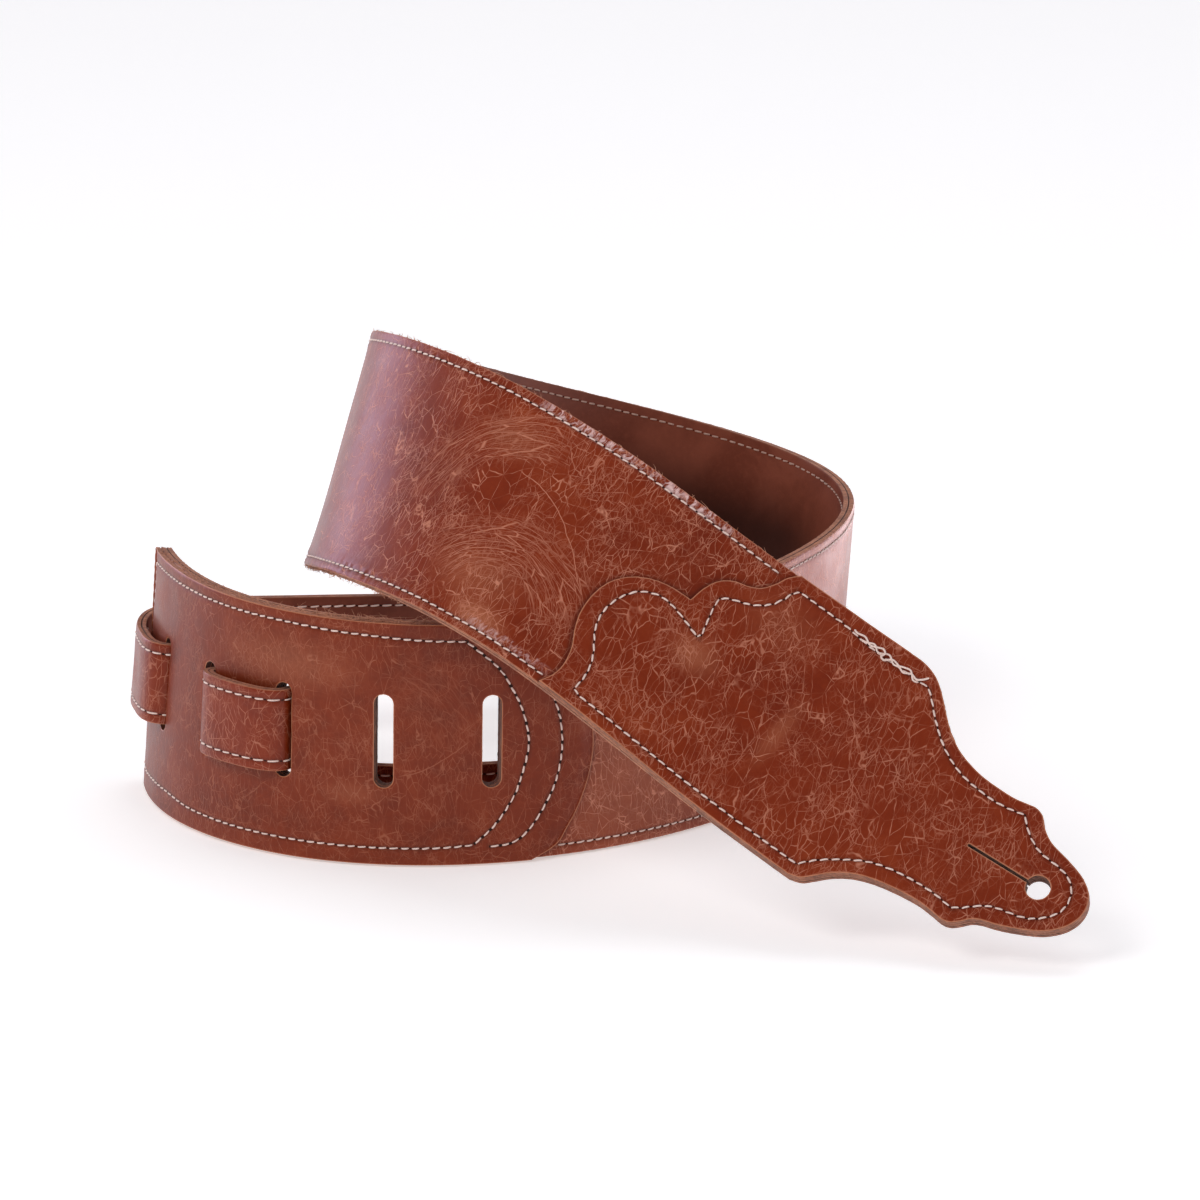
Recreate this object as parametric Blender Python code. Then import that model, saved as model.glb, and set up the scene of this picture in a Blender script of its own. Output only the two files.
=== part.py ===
"""Leather guitar strap, laid down as one standing loop.

A 76 mm wide two-layer strap with a slotted adjuster panel sewn on one end and
a shaped pin tab sewn on the other.  A 25 mm tail is woven through three of the
five slots, turns round the end of the panel and lies inside the loop.

The strap is a flat leather pattern bent along a route.  Everything is first
drawn flat in strap coordinates: u runs along the strap from the slotted end,
w runs across it (+ is the upper edge), and o is the height above the middle
of the two-layer strap (+ is the grain side).  Metres, +Z up.
"""
import bpy
import bmesh
import math
import numpy as np
from mathutils.geometry import delaunay_2d_cdt

MM = 0.001

# ---------------------------------------------------------------- dimensions
STRAP_WIDTH = 76.2 * MM
LAYER = 1.65 * MM            # one leather layer of the strap
GAP = 0.30 * MM              # glue line between two layers
OVERLAY = 1.70 * MM          # panel and yoke leather, sewn on top
THREAD_W = 0.8 * MM
THREAD_H = 0.5 * MM
SEAM_GAP = 0.30 * MM

SLOT_FIRST = 32.0 * MM       # centre of the first slot from the end
SLOT_PITCH = 31.8 * MM
SLOT_COUNT = 5
SLOT_LONG = 29.4 * MM        # across the strap
SLOT_WIDE = 5.7 * MM         # along the strap
SLOT_CENTRE = 1.0 * MM       # slots sit a little above the middle

TAIL_WIDTH = 25.4 * MM
TAIL_LAYER = 1.45 * MM
WEAVE_RISE = 6.8 * MM        # how far the woven tail stands off the panel's middle
WEAVE_POWER = 3.2

HOLE_R = 3.7 * MM            # strap-pin hole
SEAT_R = 7.6 * MM            # flat seat of the pin's button round the hole
SEAT_RISE = 0.10 * MM
SEAT_SLOPE = 0.8 * MM
SLIT_LONG = 21.0 * MM        # slit that lets the pin's button through
SLIT_WIDE = 0.9 * MM

TAB_HINGE = 905.0 * MM       # where the pin tab bends
TAB_CLEAR = 0.8 * MM         # half the flex gap of the tab
TAIL_CLEAR = 0.7 * MM

# The bend and twist of the strap, per metre of its length, at evenly spaced
# stations from the slotted end (0) to the pin tab (0.940 m).
# ORIGIN puts the middle of the loop's footprint, at the table, at 0, 0, 0.
ORIGIN = (3.094 * MM, 39.878 * MM, 0.186 * MM)
START = (-139.10 * MM, 0.0, 36.40 * MM)
HEADING, PITCH, ROLL = -83.38, 3.40, -3.75
SCHEDULE_LENGTH = 0.940
BEND = (5.63, 10.03, 13.56, 9.57, 6.45, 5.07, 9.09, 16.40, 16.47,
        9.40, 4.85, 8.05, 9.96, 8.72, 7.38, -4.34, 0.0, 0.0)
TWIST = (-1.75, 1.47, 1.21, -0.01, -0.04, -0.23, 1.49, 3.35, 2.92,
         1.37, -0.35, -0.99, -4.75, -5.38, -0.89, 2.34, 0.0, 0.0)
STANDING = 0.300             # the lower edge stands on the table up to here

GRID_STEP = 12.0 * MM
H = STRAP_WIDTH / 2
SEAM_W = 34.8 * MM

# Tail: centre line of its free run, x, y, z in mm, after it leaves slot 1.
TAIL_RUN = ((-144.4, 4.0, 39.6), (-139.6, 14.0, 39.3), (-130.5, 22.0, 39.0),
            (-117.5, 27.2, 38.5), (-100.0, 31.0, 37.8), (-75.0, 38.5, 36.2),
            (-50.0, 47.0, 34.0), (-20.0, 55.0, 30.0), (10.0, 57.0, 25.0),
            (34.0, 49.5, 19.5), (51.0, 34.0, 15.0), (57.5, 12.0, 13.1),
            (53.0, -11.0, 12.9), (39.0, -32.0, 12.9), (16.0, -51.0, 12.9),
            (-11.0, -65.5, 12.9), (-39.0, -73.5, 12.9), (-66.0, -74.5, 12.9),
            (-88.0, -66.5, 12.9))
TAIL_HINGE_AT = 2            # run point where the tail swings
TIP_HINGE_AT = 11            # run point where the tail's last stretch folds


# ------------------------------------------------------------------- frames
def unit(v):
    return v / np.linalg.norm(v)


def turn(v, axis, angle):
    return (v * math.cos(angle) + np.cross(axis, v) * math.sin(angle)
            + axis * np.dot(axis, v) * (1 - math.cos(angle)))


def strap_route(length, step=2.0 * MM):
    """Centre points and frames of the strap: t along, n towards the inside of
    the loop, b across (up)."""
    psi, pit, rol = (math.radians(a) for a in (HEADING, PITCH, ROLL))
    t = np.array([math.cos(psi) * math.cos(pit), math.sin(psi) * math.cos(pit), math.sin(pit)])
    n0 = unit(np.cross([0, 0, 1.0], t))
    b0 = np.cross(t, n0)
    n = n0 * math.cos(rol) + b0 * math.sin(rol)
    b = np.cross(t, n)
    stations = np.linspace(0, SCHEDULE_LENGTH, len(BEND))
    c = np.array(START) + np.array(ORIGIN)
    out = [(0.0, c, t, n, b, TWIST[0])]
    u = 0.0
    while u < length - 1e-9:
        um = u + step / 2
        k = np.interp(um, stations, BEND)
        tw = np.interp(um, stations, TWIST)
        rot = k * b + tw * t
        size = np.linalg.norm(rot)
        ax = rot / size if size > 1e-9 else t
        c = c + turn(t, ax, size * step / 2) * step
        t = unit(turn(t, ax, size * step))
        n = turn(n, ax, size * step)
        n = unit(n - np.dot(n, t) * t)
        b = np.cross(t, n)
        u += step
        out.append((u, c, t, n, b, float(np.interp(u, stations, TWIST))))
    return out


def smooth01(x):
    x = min(max(x, 0.0), 1.0)
    return x * x * (3 - 2 * x)


class Sheet:
    """A bent leather surface, as a grid of points and outward directions.
    at(u, w, o) is a point o above the surface; it is exact on the grid's
    triangles, so layers cut from one sheet stay parallel."""

    def __init__(self, us, ws, points, normals):
        self.us, self.ws = list(us), list(ws)
        self.p, self.n = points, normals

    def cell(self, values, x):
        i = int(np.searchsorted(values, x, side='right')) - 1
        i = min(max(i, 0), len(values) - 2)
        return i, (x - values[i]) / (values[i + 1] - values[i])

    def at(self, u, w, o=0.0):
        i, fu = self.cell(self.us, u)
        j, fw = self.cell(self.ws, w)

        def mix(g):
            a, bb, cc, d = g[i][j], g[i + 1][j], g[i + 1][j + 1], g[i][j + 1]
            if fu >= fw:
                return a + (bb - a) * fu + (cc - bb) * fw
            return a + (d - a) * fw + (cc - d) * fu
        return mix(self.p) + o * mix(self.n)

    def out(self, u, w):
        return unit(self.at(u, w, 1.0) - self.at(u, w, 0.0))


def strap_sheet():
    route = strap_route(0.972)
    ws = [-H, -SEAM_W, -12.7 * MM, 12.7 * MM, SEAM_W, H]
    every = int(round(GRID_STEP / (2.0 * MM)))
    us, pts, nrm = [], [], []
    for u, c, t, n, b, tw in route[::every]:
        low = (c - H * b)[2]
        keep = smooth01((u - STANDING) / 0.080)
        drop = (low - ORIGIN[2]) * (1 - keep)    # the lower edge settles on the table
        row, nor = [], []
        for w in ws:
            p = c + w * b - np.array([0, 0, drop * (H - w) / STRAP_WIDTH])
            row.append(p)
            nor.append(-unit(np.cross(b, t - w * tw * n)))
        us.append(u)
        pts.append(row)
        nrm.append(nor)
    return Sheet(us, ws, pts, nrm)


def catmull(points, per=12):
    pts = [np.array(p, float) for p in points]
    pts = [2 * pts[0] - pts[1]] + pts + [2 * pts[-1] - pts[-2]]
    out = []
    for k in range(1, len(pts) - 2):
        p0, p1, p2, p3 = pts[k - 1:k + 3]
        for m in range(per):
            s = m / per
            out.append(0.5 * (2 * p1 + (p2 - p0) * s + (2 * p0 - 5 * p1 + 4 * p2 - p3) * s * s
                              + (3 * p1 - p0 - 3 * p2 + p3) * s ** 3))
    out.append(pts[-2])
    return out


def weave(u0, u1, side, start=-1.0, end=1.0, count=28):
    """One bow of the woven tail, in the panel's (u, o) plane, as a flat-topped
    arch that goes straight through the slots at its ends."""
    mid, half = (u0 + u1) / 2, (u1 - u0) / 2
    centre = 1.0 * MM
    out = []
    for k in range(count + 1):
        a = start + (end - start) * k / count
        ang = a * math.pi / 2
        x = math.copysign(abs(math.sin(ang)) ** (2 / WEAVE_POWER), ang)
        y = abs(math.cos(ang)) ** (2 / WEAVE_POWER)
        out.append((mid + half * x, centre + side * WEAVE_RISE * y))
    return out


def tail_sheet(strap):
    """The tail's surface, its length positions, and where its hinges are."""
    slot = [SLOT_FIRST + SLOT_PITCH * k for k in range(SLOT_COUNT)]
    uo = []
    # inner end, lying behind the panel just past slot 3
    uo += [(slot[2] + 25 * MM - 4 * MM * k, 1.0 * MM - WEAVE_RISE) for k in range(3)]
    uo += weave(slot[2] + 28 * MM, slot[2], -1, 0.0, 1.0, 14)[1:]
    uo += weave(slot[2], slot[1], +1)[1:]
    uo += weave(slot[1], slot[0], -1)[1:]
    uo += weave(slot[0], slot[0] - 24 * MM, +1, -1.0, 0.0, 14)[1:]
    woven = []
    for u, o in uo:
        base = strap.at(u, SLOT_CENTRE)
        up = unit(strap.at(u, SLOT_CENTRE + 5 * MM) - strap.at(u, SLOT_CENTRE - 5 * MM))
        woven.append((base + o * strap.out(u, SLOT_CENTRE), up))
    # one more point beside the panel's end, then the free run
    beside = strap.at(6 * MM, SLOT_CENTRE) + 7.4 * MM * strap.out(6 * MM, SLOT_CENTRE)
    control = [woven[-1][0], beside] + [np.array(p) * MM + np.array(ORIGIN) for p in TAIL_RUN]
    per = 12
    run = catmull(control, per)
    path = [(p, up) for p, up in woven]
    lean_a, lean_b = woven[-1][1], unit(np.array([0.10, 0.04, 0.99]))
    for k, p in enumerate(run[1:], 1):
        f = k / per
        if f < 3:
            up = unit(lean_a * (1 - f / 3) + lean_b * f / 3)
        else:
            g = min((f - 3) / 6, 1.0)
            up = unit(lean_b * (1 - g) + np.array([0, 0, 1.0]) * g)
        path.append((p, up))
    pts = np.array([p for p, _ in path])
    ups = np.array([q for _, q in path])
    length = np.concatenate([[0], np.cumsum(np.linalg.norm(np.diff(pts, axis=0), axis=1))])
    mark = [length[len(woven) - 1 + per * (k + 2)] for k in (TAIL_HINGE_AT, TIP_HINGE_AT)]
    total = length[-1]

    # stations: close together where the tail bends hard
    def place(x):
        return np.array([np.interp(x, length, pts[:, i]) for i in range(3)])

    def rise(x):
        return unit(np.array([np.interp(x, length, ups[:, i]) for i in range(3)]))
    woven_end = length[len(woven) - 1]
    us = [0.0]
    while us[-1] < total - 1e-6:
        x = us[-1]
        step = 2.2 * MM if x < woven_end else 7.5 * MM
        nxt = x + step
        for m in mark:
            if x < m - 1e-6 and nxt > m - 2.5 * MM:
                nxt = m
        if total - nxt < 3.0 * MM:
            nxt = total
        us.append(nxt)
    ws = [-TAIL_WIDTH / 2, TAIL_WIDTH / 2]
    grid_p, grid_n = [], []
    for x in us:
        a, z = max(x - 1.1 * MM, 0), min(x + 1.1 * MM, total)
        t = unit(place(z) - place(a))
        b = rise(x)
        b = unit(b - np.dot(b, t) * t)
        n = np.cross(b, t)                   # n is the lining side
        # across the tail, w counts downwards, so its grain faces out where it
        # bows over the panel
        grid_p.append([place(x) - w * b for w in ws])
        grid_n.append([n * 1.0 for w in ws])
    return Sheet(us, ws, grid_p, grid_n), mark, total


# ------------------------------------------------------------ flat patterns
def inside(poly, x, y):
    hit = False
    k = len(poly) - 1
    for m in range(len(poly)):
        (x1, y1), (x2, y2) = poly[m], poly[k]
        if (y1 > y) != (y2 > y) and x < (x2 - x1) * (y - y1) / (y2 - y1) + x1:
            hit = not hit
        k = m
    return hit


def clip(poly, limit, keep_below):
    """The part of a flat outline on one side of the line u = limit."""
    out = []
    for k in range(len(poly)):
        a, b = poly[k], poly[(k + 1) % len(poly)]
        ina = a[0] <= limit if keep_below else a[0] >= limit
        inb = b[0] <= limit if keep_below else b[0] >= limit
        if ina:
            out.append(a)
        if ina != inb:
            f = (limit - a[0]) / (b[0] - a[0])
            out.append((limit, a[1] + f * (b[1] - a[1])))
    return out


def round_slot(u, w, along, across, n=5):
    """An oblong with round ends, long across the strap."""
    r = along / 2
    pts = []
    for k in range(n + 1):
        a = math.pi * k / n
        pts.append((u + r * math.cos(a), w + across / 2 - r + r * math.sin(a)))
    for k in range(n + 1):
        a = math.pi + math.pi * k / n
        pts.append((u + r * math.cos(a), w - across / 2 + r + r * math.sin(a)))
    return pts


def keyhole(u, w, r, length, wide, lean=0.0, n=14):
    """Pin hole with its slit running back along the strap, as one outline."""
    half = math.asin(wide / 2 / r)
    pts = []
    for k in range(n + 1):
        a = math.pi + half + (2 * math.pi - 2 * half) * k / n
        pts.append((r * math.cos(a), r * math.sin(a)))
    pts += [(-length, wide / 2), (-length, -wide / 2)]
    c, s = math.cos(lean), math.sin(lean)
    return [(u + x * c - y * s, w + x * s + y * c) for x, y in pts]


def ring(u, w, r, lean=0.0, n=8):
    """A round line about a pin hole."""
    return [(u + r * math.cos(lean + math.pi * (2 * k + 1) / n),
             w + r * math.sin(lean + math.pi * (2 * k + 1) / n)) for k in range(n)]


def panel_end(w):
    """Free rounded edge of the slotted panel, as its u at height w."""
    return (191.2 - 0.0115 * (w / MM + 2.0) ** 2) * MM


# half outline of the pin tab: distance past the shoulder, half width (mm)
TAB_HALF = ((0.0, 37.6), (1.8, 36.4), (4.5, 32.9), (8.0, 29.8), (12.5, 26.6), (19.0, 23.8),
            (28.0, 21.6), (37.0, 20.9), (43.0, 21.4), (45.8, 21.6), (48.5, 19.6),
            (51.5, 16.9), (56.5, 14.8), (63.5, 13.0), (69.5, 10.9), (73.5, 7.9), (75.9, 4.0))
TAB_TIP = 76.6
TAB_START, TAB_AXIS_W, TAB_LEAN = 880.0 * MM, -2.6 * MM, math.radians(3.6)


def tab_point(x, y):
    c, s = math.cos(TAB_LEAN), math.sin(TAB_LEAN)
    return (TAB_START + x * MM * c - y * MM * s, TAB_AXIS_W + x * MM * s + y * MM * c)


def tab_outline(start_u):
    """Closed outline of the strap's tab end, from start_u to the tip."""
    upper = [tab_point(x, y) for x, y in TAB_HALF]
    lower = [tab_point(x, -y) for x, y in TAB_HALF]
    upper = [(u, min(w, H)) for u, w in upper]
    lower = [(u, max(w, -H)) for u, w in lower]
    tip = tab_point(TAB_TIP, 0)
    return ([(start_u, -H), (lower[0][0] - 3 * MM, -H)] + lower + [tip] + upper[::-1]
            + [(upper[0][0] - 3 * MM, H), (start_u, H)])


# rear edge of the yoke, from the lower strap edge to the upper one (mm)
YOKE_REAR = ((785.6, -38.1), (787.4, -34.0), (787.6, -29.4), (786.0, -23.7), (782.9, -18.1),
             (780.9, -12.6), (780.5, -5.7), (782.0, 0.6), (785.9, 5.8), (791.3, 9.2),
             (797.5, 10.7), (803.6, 11.2), (804.6, 16.6), (806.4, 21.2), (809.9, 24.1),
             (814.2, 25.4), (817.6, 27.6), (820.0, 31.3), (821.6, 35.2), (824.5, 38.1))


def strip_outline(u0, u1, half):
    return [(u0, -half), (u1, -half), (u1, half), (u0, half)]


# ------------------------------------------------------------------- solids
def leather(name, colour, rough):
    m = bpy.data.materials.new(name)
    m.use_nodes = True
    p = m.node_tree.nodes["Principled BSDF"]
    p.inputs["Base Color"].default_value = (*colour, 1)
    p.inputs["Roughness"].default_value = rough
    p.inputs["Metallic"].default_value = 0.0
    return m


def place_object(name, bm, colour, rough, origin=(0, 0, 0)):
    bmesh.ops.remove_doubles(bm, verts=bm.verts, dist=1e-7)
    me = bpy.data.meshes.new(name)
    for v in bm.verts:
        v.co -= type(v.co)(origin)
    bm.to_mesh(me)
    bm.free()
    me.materials.append(leather(name + "_finish", colour, rough))
    ob = bpy.data.objects.new(name, me)
    ob.location = origin
    bpy.context.scene.collection.objects.link(ob)
    return ob


def cut_leather(name, sheet, outline, holes, lo, hi, colour, rough, origin=(0, 0, 0), seat_at=None):
    """Cut an outline with holes from a bent sheet, between heights lo and hi.
    seat_at is (u, w, lean, side): the middle of a pin hole whose flat round
    seat stands SEAT_RISE proud of that side (+1 grain, -1 lining)."""
    K = 1000.0
    u0 = min(p[0] for p in outline) - 1e-4
    u1 = max(p[0] for p in outline) + 1e-4
    verts, edges, index = [], [], {}
    use = [i for i, u in enumerate(sheet.us)
           if sheet.us[min(i + 1, len(sheet.us) - 1)] >= u0 and sheet.us[max(i - 1, 0)] <= u1]
    nw = len(sheet.ws)
    for i in use:
        for j in range(nw):
            index[i, j] = len(verts)
            verts.append((sheet.us[i] * K, sheet.ws[j] * K))
    for i in use:
        for j in range(nw):
            for di, dj in ((1, 0), (0, 1), (1, 1)):
                if (i + di, j + dj) in index:
                    edges.append((index[i, j], index[i + di, j + dj]))
    rims = []
    if seat_at:
        rims = [ring(*seat_at[:2], SEAT_R, seat_at[2]), ring(*seat_at[:2], SEAT_R + SEAT_SLOPE, seat_at[2])]
    for loop in [outline] + list(holes) + rims:
        start = len(verts)
        verts += [(p[0] * K, p[1] * K) for p in loop]
        edges += [(start + k, start + (k + 1) % len(loop)) for k in range(len(loop))]
    flat, _, faces, *_ = delaunay_2d_cdt(verts, edges, [], 0, 0.04)
    bm = bmesh.new()
    low, high = {}, {}

    def corner(store, k, o):
        if k not in store:
            u, w = flat[k][0] / K, flat[k][1] / K
            if seat_at and math.hypot(u - seat_at[0], w - seat_at[1]) < SEAT_R + 1e-6:
                if (seat_at[3] > 0) == (store is high):
                    o += SEAT_RISE * seat_at[3]
            store[k] = bm.verts.new(sheet.at(u, w, o))
        return store[k]
    border = {}
    for f in faces:
        cx = sum(flat[k][0] for k in f) / len(f) / K
        cy = sum(flat[k][1] for k in f) / len(f) / K
        if not inside(outline, cx, cy) or any(inside(h, cx, cy) for h in holes):
            continue
        area = sum(flat[f[k]][0] * flat[f[(k + 1) % 3]][1] - flat[f[(k + 1) % 3]][0] * flat[f[k]][1]
                   for k in range(3))
        f = list(f) if area > 0 else list(f)[::-1]
        bm.faces.new([corner(high, k, hi) for k in f])
        bm.faces.new([corner(low, k, lo) for k in f[::-1]])
        for k in range(3):
            a, b = f[k], f[(k + 1) % 3]
            if (b, a) in border:
                del border[b, a]
            else:
                border[a, b] = True
    for a, b in border:
        bm.faces.new([high[b], high[a], low[a], low[b]])
    bmesh.ops.triangulate(bm, faces=[f for f in bm.faces if len(f.verts) > 3])
    return place_object(name, bm, colour, rough, origin)


def resample(points, step, closed=False):
    pts = [np.array(p, float) for p in points]
    if closed:
        pts.append(pts[0])
    out = [tuple(pts[0])]
    for a, b in zip(pts, pts[1:]):
        count = max(1, int(math.ceil(np.linalg.norm(b - a) / step)))
        for k in range(1, count + 1):
            out.append(tuple(a + (b - a) * k / count))
    return out[:-1] if closed else out


def lay_thread(name, sheet, path, o, side, colour, closed=False, origin=(0, 0, 0), proud=THREAD_H):
    """A sewing thread as a low three-sided strand on a sheet.  path is flat,
    o the height of its foot, side +1 on the grain and -1 on the lining."""
    bm = bmesh.new()
    rings = []
    n = len(path)
    for k, (u, w) in enumerate(path):
        a = path[(k - 1) % n] if closed or k > 0 else path[k]
        z = path[(k + 1) % n] if closed or k < n - 1 else path[k]
        p = sheet.at(u, w, o)
        along = sheet.at(z[0], z[1], o) - sheet.at(a[0], a[1], o)
        up = sheet.out(u, w) * side
        across = unit(np.cross(unit(along), up))
        rings.append([bm.verts.new(p - across * THREAD_W / 2), bm.verts.new(p + across * THREAD_W / 2),
                      bm.verts.new(p + up * proud)])
    count = n if closed else n - 1
    for k in range(count):
        r, s = rings[k], rings[(k + 1) % n]
        for m in range(3):
            bm.faces.new([r[m], r[(m + 1) % 3], s[(m + 1) % 3], s[m]])
    if not closed:
        bm.faces.new(rings[0][::-1])
        bm.faces.new(rings[-1])
    bmesh.ops.triangulate(bm, faces=bm.faces[:])
    bmesh.ops.recalc_face_normals(bm, faces=bm.faces[:])
    return place_object(name, bm, colour, 0.6, origin)


# ---------------------------------------------------------------- the model
def stations_between(sheet, a, b):
    inner = [u for u in sheet.us if a + 2 * MM < u < b - 2 * MM]
    return [a] + inner + [b]


def seam_heights():
    half = GAP / 2
    return dict(back=(-half - LAYER, -half), face=(half, half + LAYER),
                over=(half + LAYER + GAP, half + LAYER + GAP + OVERLAY))


def build():
    for ob in list(bpy.data.objects):
        bpy.data.objects.remove(ob, do_unlink=True)

    tan, dark, cream = (0.33, 0.085, 0.035), (0.10, 0.036, 0.022), (0.78, 0.70, 0.60)
    strap = strap_sheet()
    lay = seam_heights()

    # ---- flat patterns
    slots = [round_slot(SLOT_FIRST + SLOT_PITCH * k, SLOT_CENTRE, SLOT_WIDE, SLOT_LONG)
             for k in range(SLOT_COUNT)]
    full = tab_outline(0.0)
    corner = 5 * MM                       # rounded lower corner of the free end
    body = [(0.0, -H + corner), (0.35 * corner, -H + 0.35 * corner), (corner, -H)] + full[1:]
    hole_u, hole_w = tab_point(61.1, 0.6)
    pin = keyhole(hole_u, hole_w, HOLE_R, SLIT_LONG + HOLE_R, SLIT_WIDE, TAB_LEAN)
    root_side = clip(body, TAB_HINGE - TAB_CLEAR, True)
    tab_side = clip(tab_outline(0.80), TAB_HINGE + TAB_CLEAR, False)
    hinge = strap.at(TAB_HINGE, 0.0, 1.0 * MM)

    panel = [(0.0, -H + corner), (0.35 * corner, -H + 0.35 * corner), (corner, -H)]
    edge_w = [-H + 1.2 * MM, -34.0 * MM, -29 * MM, -22 * MM, -12 * MM, -1 * MM, 10 * MM, 20 * MM, 29 * MM, H]
    panel += [(panel_end(-H) - 3 * MM, -H)] + [(panel_end(w), w) for w in edge_w] + [(0.0, H)]

    yoke = [(u * MM, w * MM) for u, w in YOKE_REAR]
    yoke = clip(full[1:-1], TAB_HINGE - TAB_CLEAR, True) + yoke[::-1]

    # ---- main strap, panel and yoke
    cut_leather("strap_face", strap, root_side, slots, *lay["face"], tan, 0.42)
    cut_leather("strap_backing", strap, root_side, slots, *lay["back"], dark, 0.6)
    cut_leather("slotted_panel", strap, panel, slots, *lay["over"], tan, 0.42)
    cut_leather("tab_yoke", strap, yoke, [], *lay["over"], tan, 0.42)
    cut_leather("tab_end", strap, tab_side, [pin], *lay["over"], tan, 0.42, hinge, (hole_u, hole_w, TAB_LEAN, 1))
    cut_leather("tab_core", strap, tab_side, [pin], *lay["face"], tan, 0.6, hinge)
    cut_leather("tab_backing", strap, tab_side, [pin], *lay["back"], dark, 0.6, hinge, (hole_u, hole_w, TAB_LEAN, -1))

    # ---- seams
    top = lay["over"][1] + SEAM_GAP
    mid = lay["face"][1] + SEAM_GAP
    back = lay["back"][0] - SEAM_GAP
    lay_thread("upper_edge_thread", strap,
               [(u, SEAM_W) for u in stations_between(strap, 184 * MM, 817 * MM)], mid, 1, cream)
    lay_thread("lower_edge_thread", strap,
               [(u, -SEAM_W) for u in stations_between(strap, 184 * MM, 783 * MM)], mid, 1, cream)
    row_t, row_b = 34.2 * MM, -32.6 * MM
    rim = ([(u, row_b) for u in stations_between(strap, 9 * MM, 149 * MM)[::-1]]
           + [(5.5 * MM, row_b + 2 * MM), (4.5 * MM, row_b + 6 * MM)]
           + [(4.5 * MM, w * MM) for w in (-12, 0, 12, 24)] + [(4.5 * MM, row_t - 1 * MM)]
           + [(u, row_t) for u in stations_between(strap, 6 * MM, 149 * MM)])
    lay_thread("panel_edge_thread", strap, rim, top, 1, cream)
    arc_in = [((170.4 - 0.0170 * w * w) * MM, w * MM) for w in (33.4, 29, 24, 18, 12, 6, 0, -6, -12, -18, -24, -29, -31.4)]
    lay_thread("panel_arc_thread_inner", strap, arc_in, top + 0.05 * MM, 1, cream)
    arc_out = [((181.0 - 0.0122 * w * w) * MM, w * MM) for w in (33.4, 30, 25, 19, 13, 7, 1, -5, -11, -17, -23)]
    arc_out += [(170.8 * MM, -28.2 * MM), (166.6 * MM, -31.4 * MM), (161.5 * MM, -32.6 * MM), (155 * MM, -32.7 * MM)]
    lay_thread("panel_arc_thread_outer", strap, arc_out, top + 0.05 * MM, 1, cream)

    inset = 4.2
    rear = [(794.6, -34.3), (794.8, -29.5), (793.7, -24.2), (791.0, -19.2), (787.9, -14.4), (786.3, -9.0),
            (786.6, -3.4), (789.0, 1.6), (792.6, 4.8), (797.3, 6.2), (804.3, 5.2), (813.2, 2.8), (811.3, 9.7),
            (809.9, 15.6), (811.2, 18.0), (815.2, 19.9), (819.4, 21.7), (822.7, 24.7), (825.0, 28.4), (826.3, 33.6)]
    rear = [(u * MM, w * MM) for u, w in rear]
    side_up, side_dn = [], []
    for x, y in TAB_HALF[1:]:
        k = TAB_HALF.index((x, y))
        x2, y2 = TAB_HALF[min(k + 1, len(TAB_HALF) - 1)]
        x1, y1 = TAB_HALF[k - 1]
        d = math.hypot(x2 - x1, y2 - y1)
        nx, ny = (y2 - y1) / d, -(x2 - x1) / d
        side_up.append((x + nx * inset, y + ny * inset))
    side_up = [p for p in side_up if p[1] > 2.0]
    side_dn = [(x, -y) for x, y in side_up]
    loop_up = [tab_point(*p) for p in side_up]
    loop_dn = [tab_point(*p) for p in side_dn]
    tip = tab_point(TAB_TIP - inset, 0)
    row = 33.4 * MM
    lim_a, lim_b = TAB_HINGE - TAB_CLEAR - 0.4 * MM, TAB_HINGE + TAB_CLEAR + 0.4 * MM

    def cross(points, lim):
        for a, b in zip(points, points[1:]):
            if (a[0] - lim) * (b[0] - lim) <= 0 and a[0] != b[0]:
                f = (lim - a[0]) / (b[0] - a[0])
                return (lim, a[1] + f * (b[1] - a[1]))
    up_in = [p for p in loop_up if p[0] < lim_a - 1 * MM]
    dn_in = [p for p in loop_dn if p[0] < lim_a - 1 * MM]
    up_out = [p for p in loop_up if p[0] > lim_b + 1 * MM]
    dn_out = [p for p in loop_dn if p[0] > lim_b + 1 * MM]
    shoulder_u, shoulder_d = loop_up[0][0], loop_dn[0][0]
    yoke_seam = ([cross(loop_dn, lim_a)] + dn_in[::-1]
                 + [(u, -row) for u in stations_between(strap, 800 * MM, shoulder_d - 4 * MM)[::-1]]
                 + rear
                 + [(u, row) for u in stations_between(strap, 831 * MM, shoulder_u - 4 * MM)]
                 + up_in + [cross(loop_up, lim_a)])
    lay_thread("yoke_thread", strap, yoke_seam, top + 0.05 * MM, 1, cream)
    tab_seam = [cross(loop_up, lim_b)] + up_out + [tip] + dn_out[::-1] + [cross(loop_dn, lim_b)]
    lay_thread("tab_thread", strap, tab_seam, top, 1, cream, origin=hinge)
    lay_thread("tab_bobbin_thread", strap, tab_seam, back, -1, cream, origin=hinge)
    lay_thread("upper_bobbin_thread", strap,
               [(u, SEAM_W) for u in stations_between(strap, 6 * MM, shoulder_u - 4 * MM)], back, -1, cream)
    lay_thread("lower_bobbin_thread", strap,
               [(u, -SEAM_W) for u in stations_between(strap, 10 * MM, shoulder_d - 4 * MM)], back, -1, cream)

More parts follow.
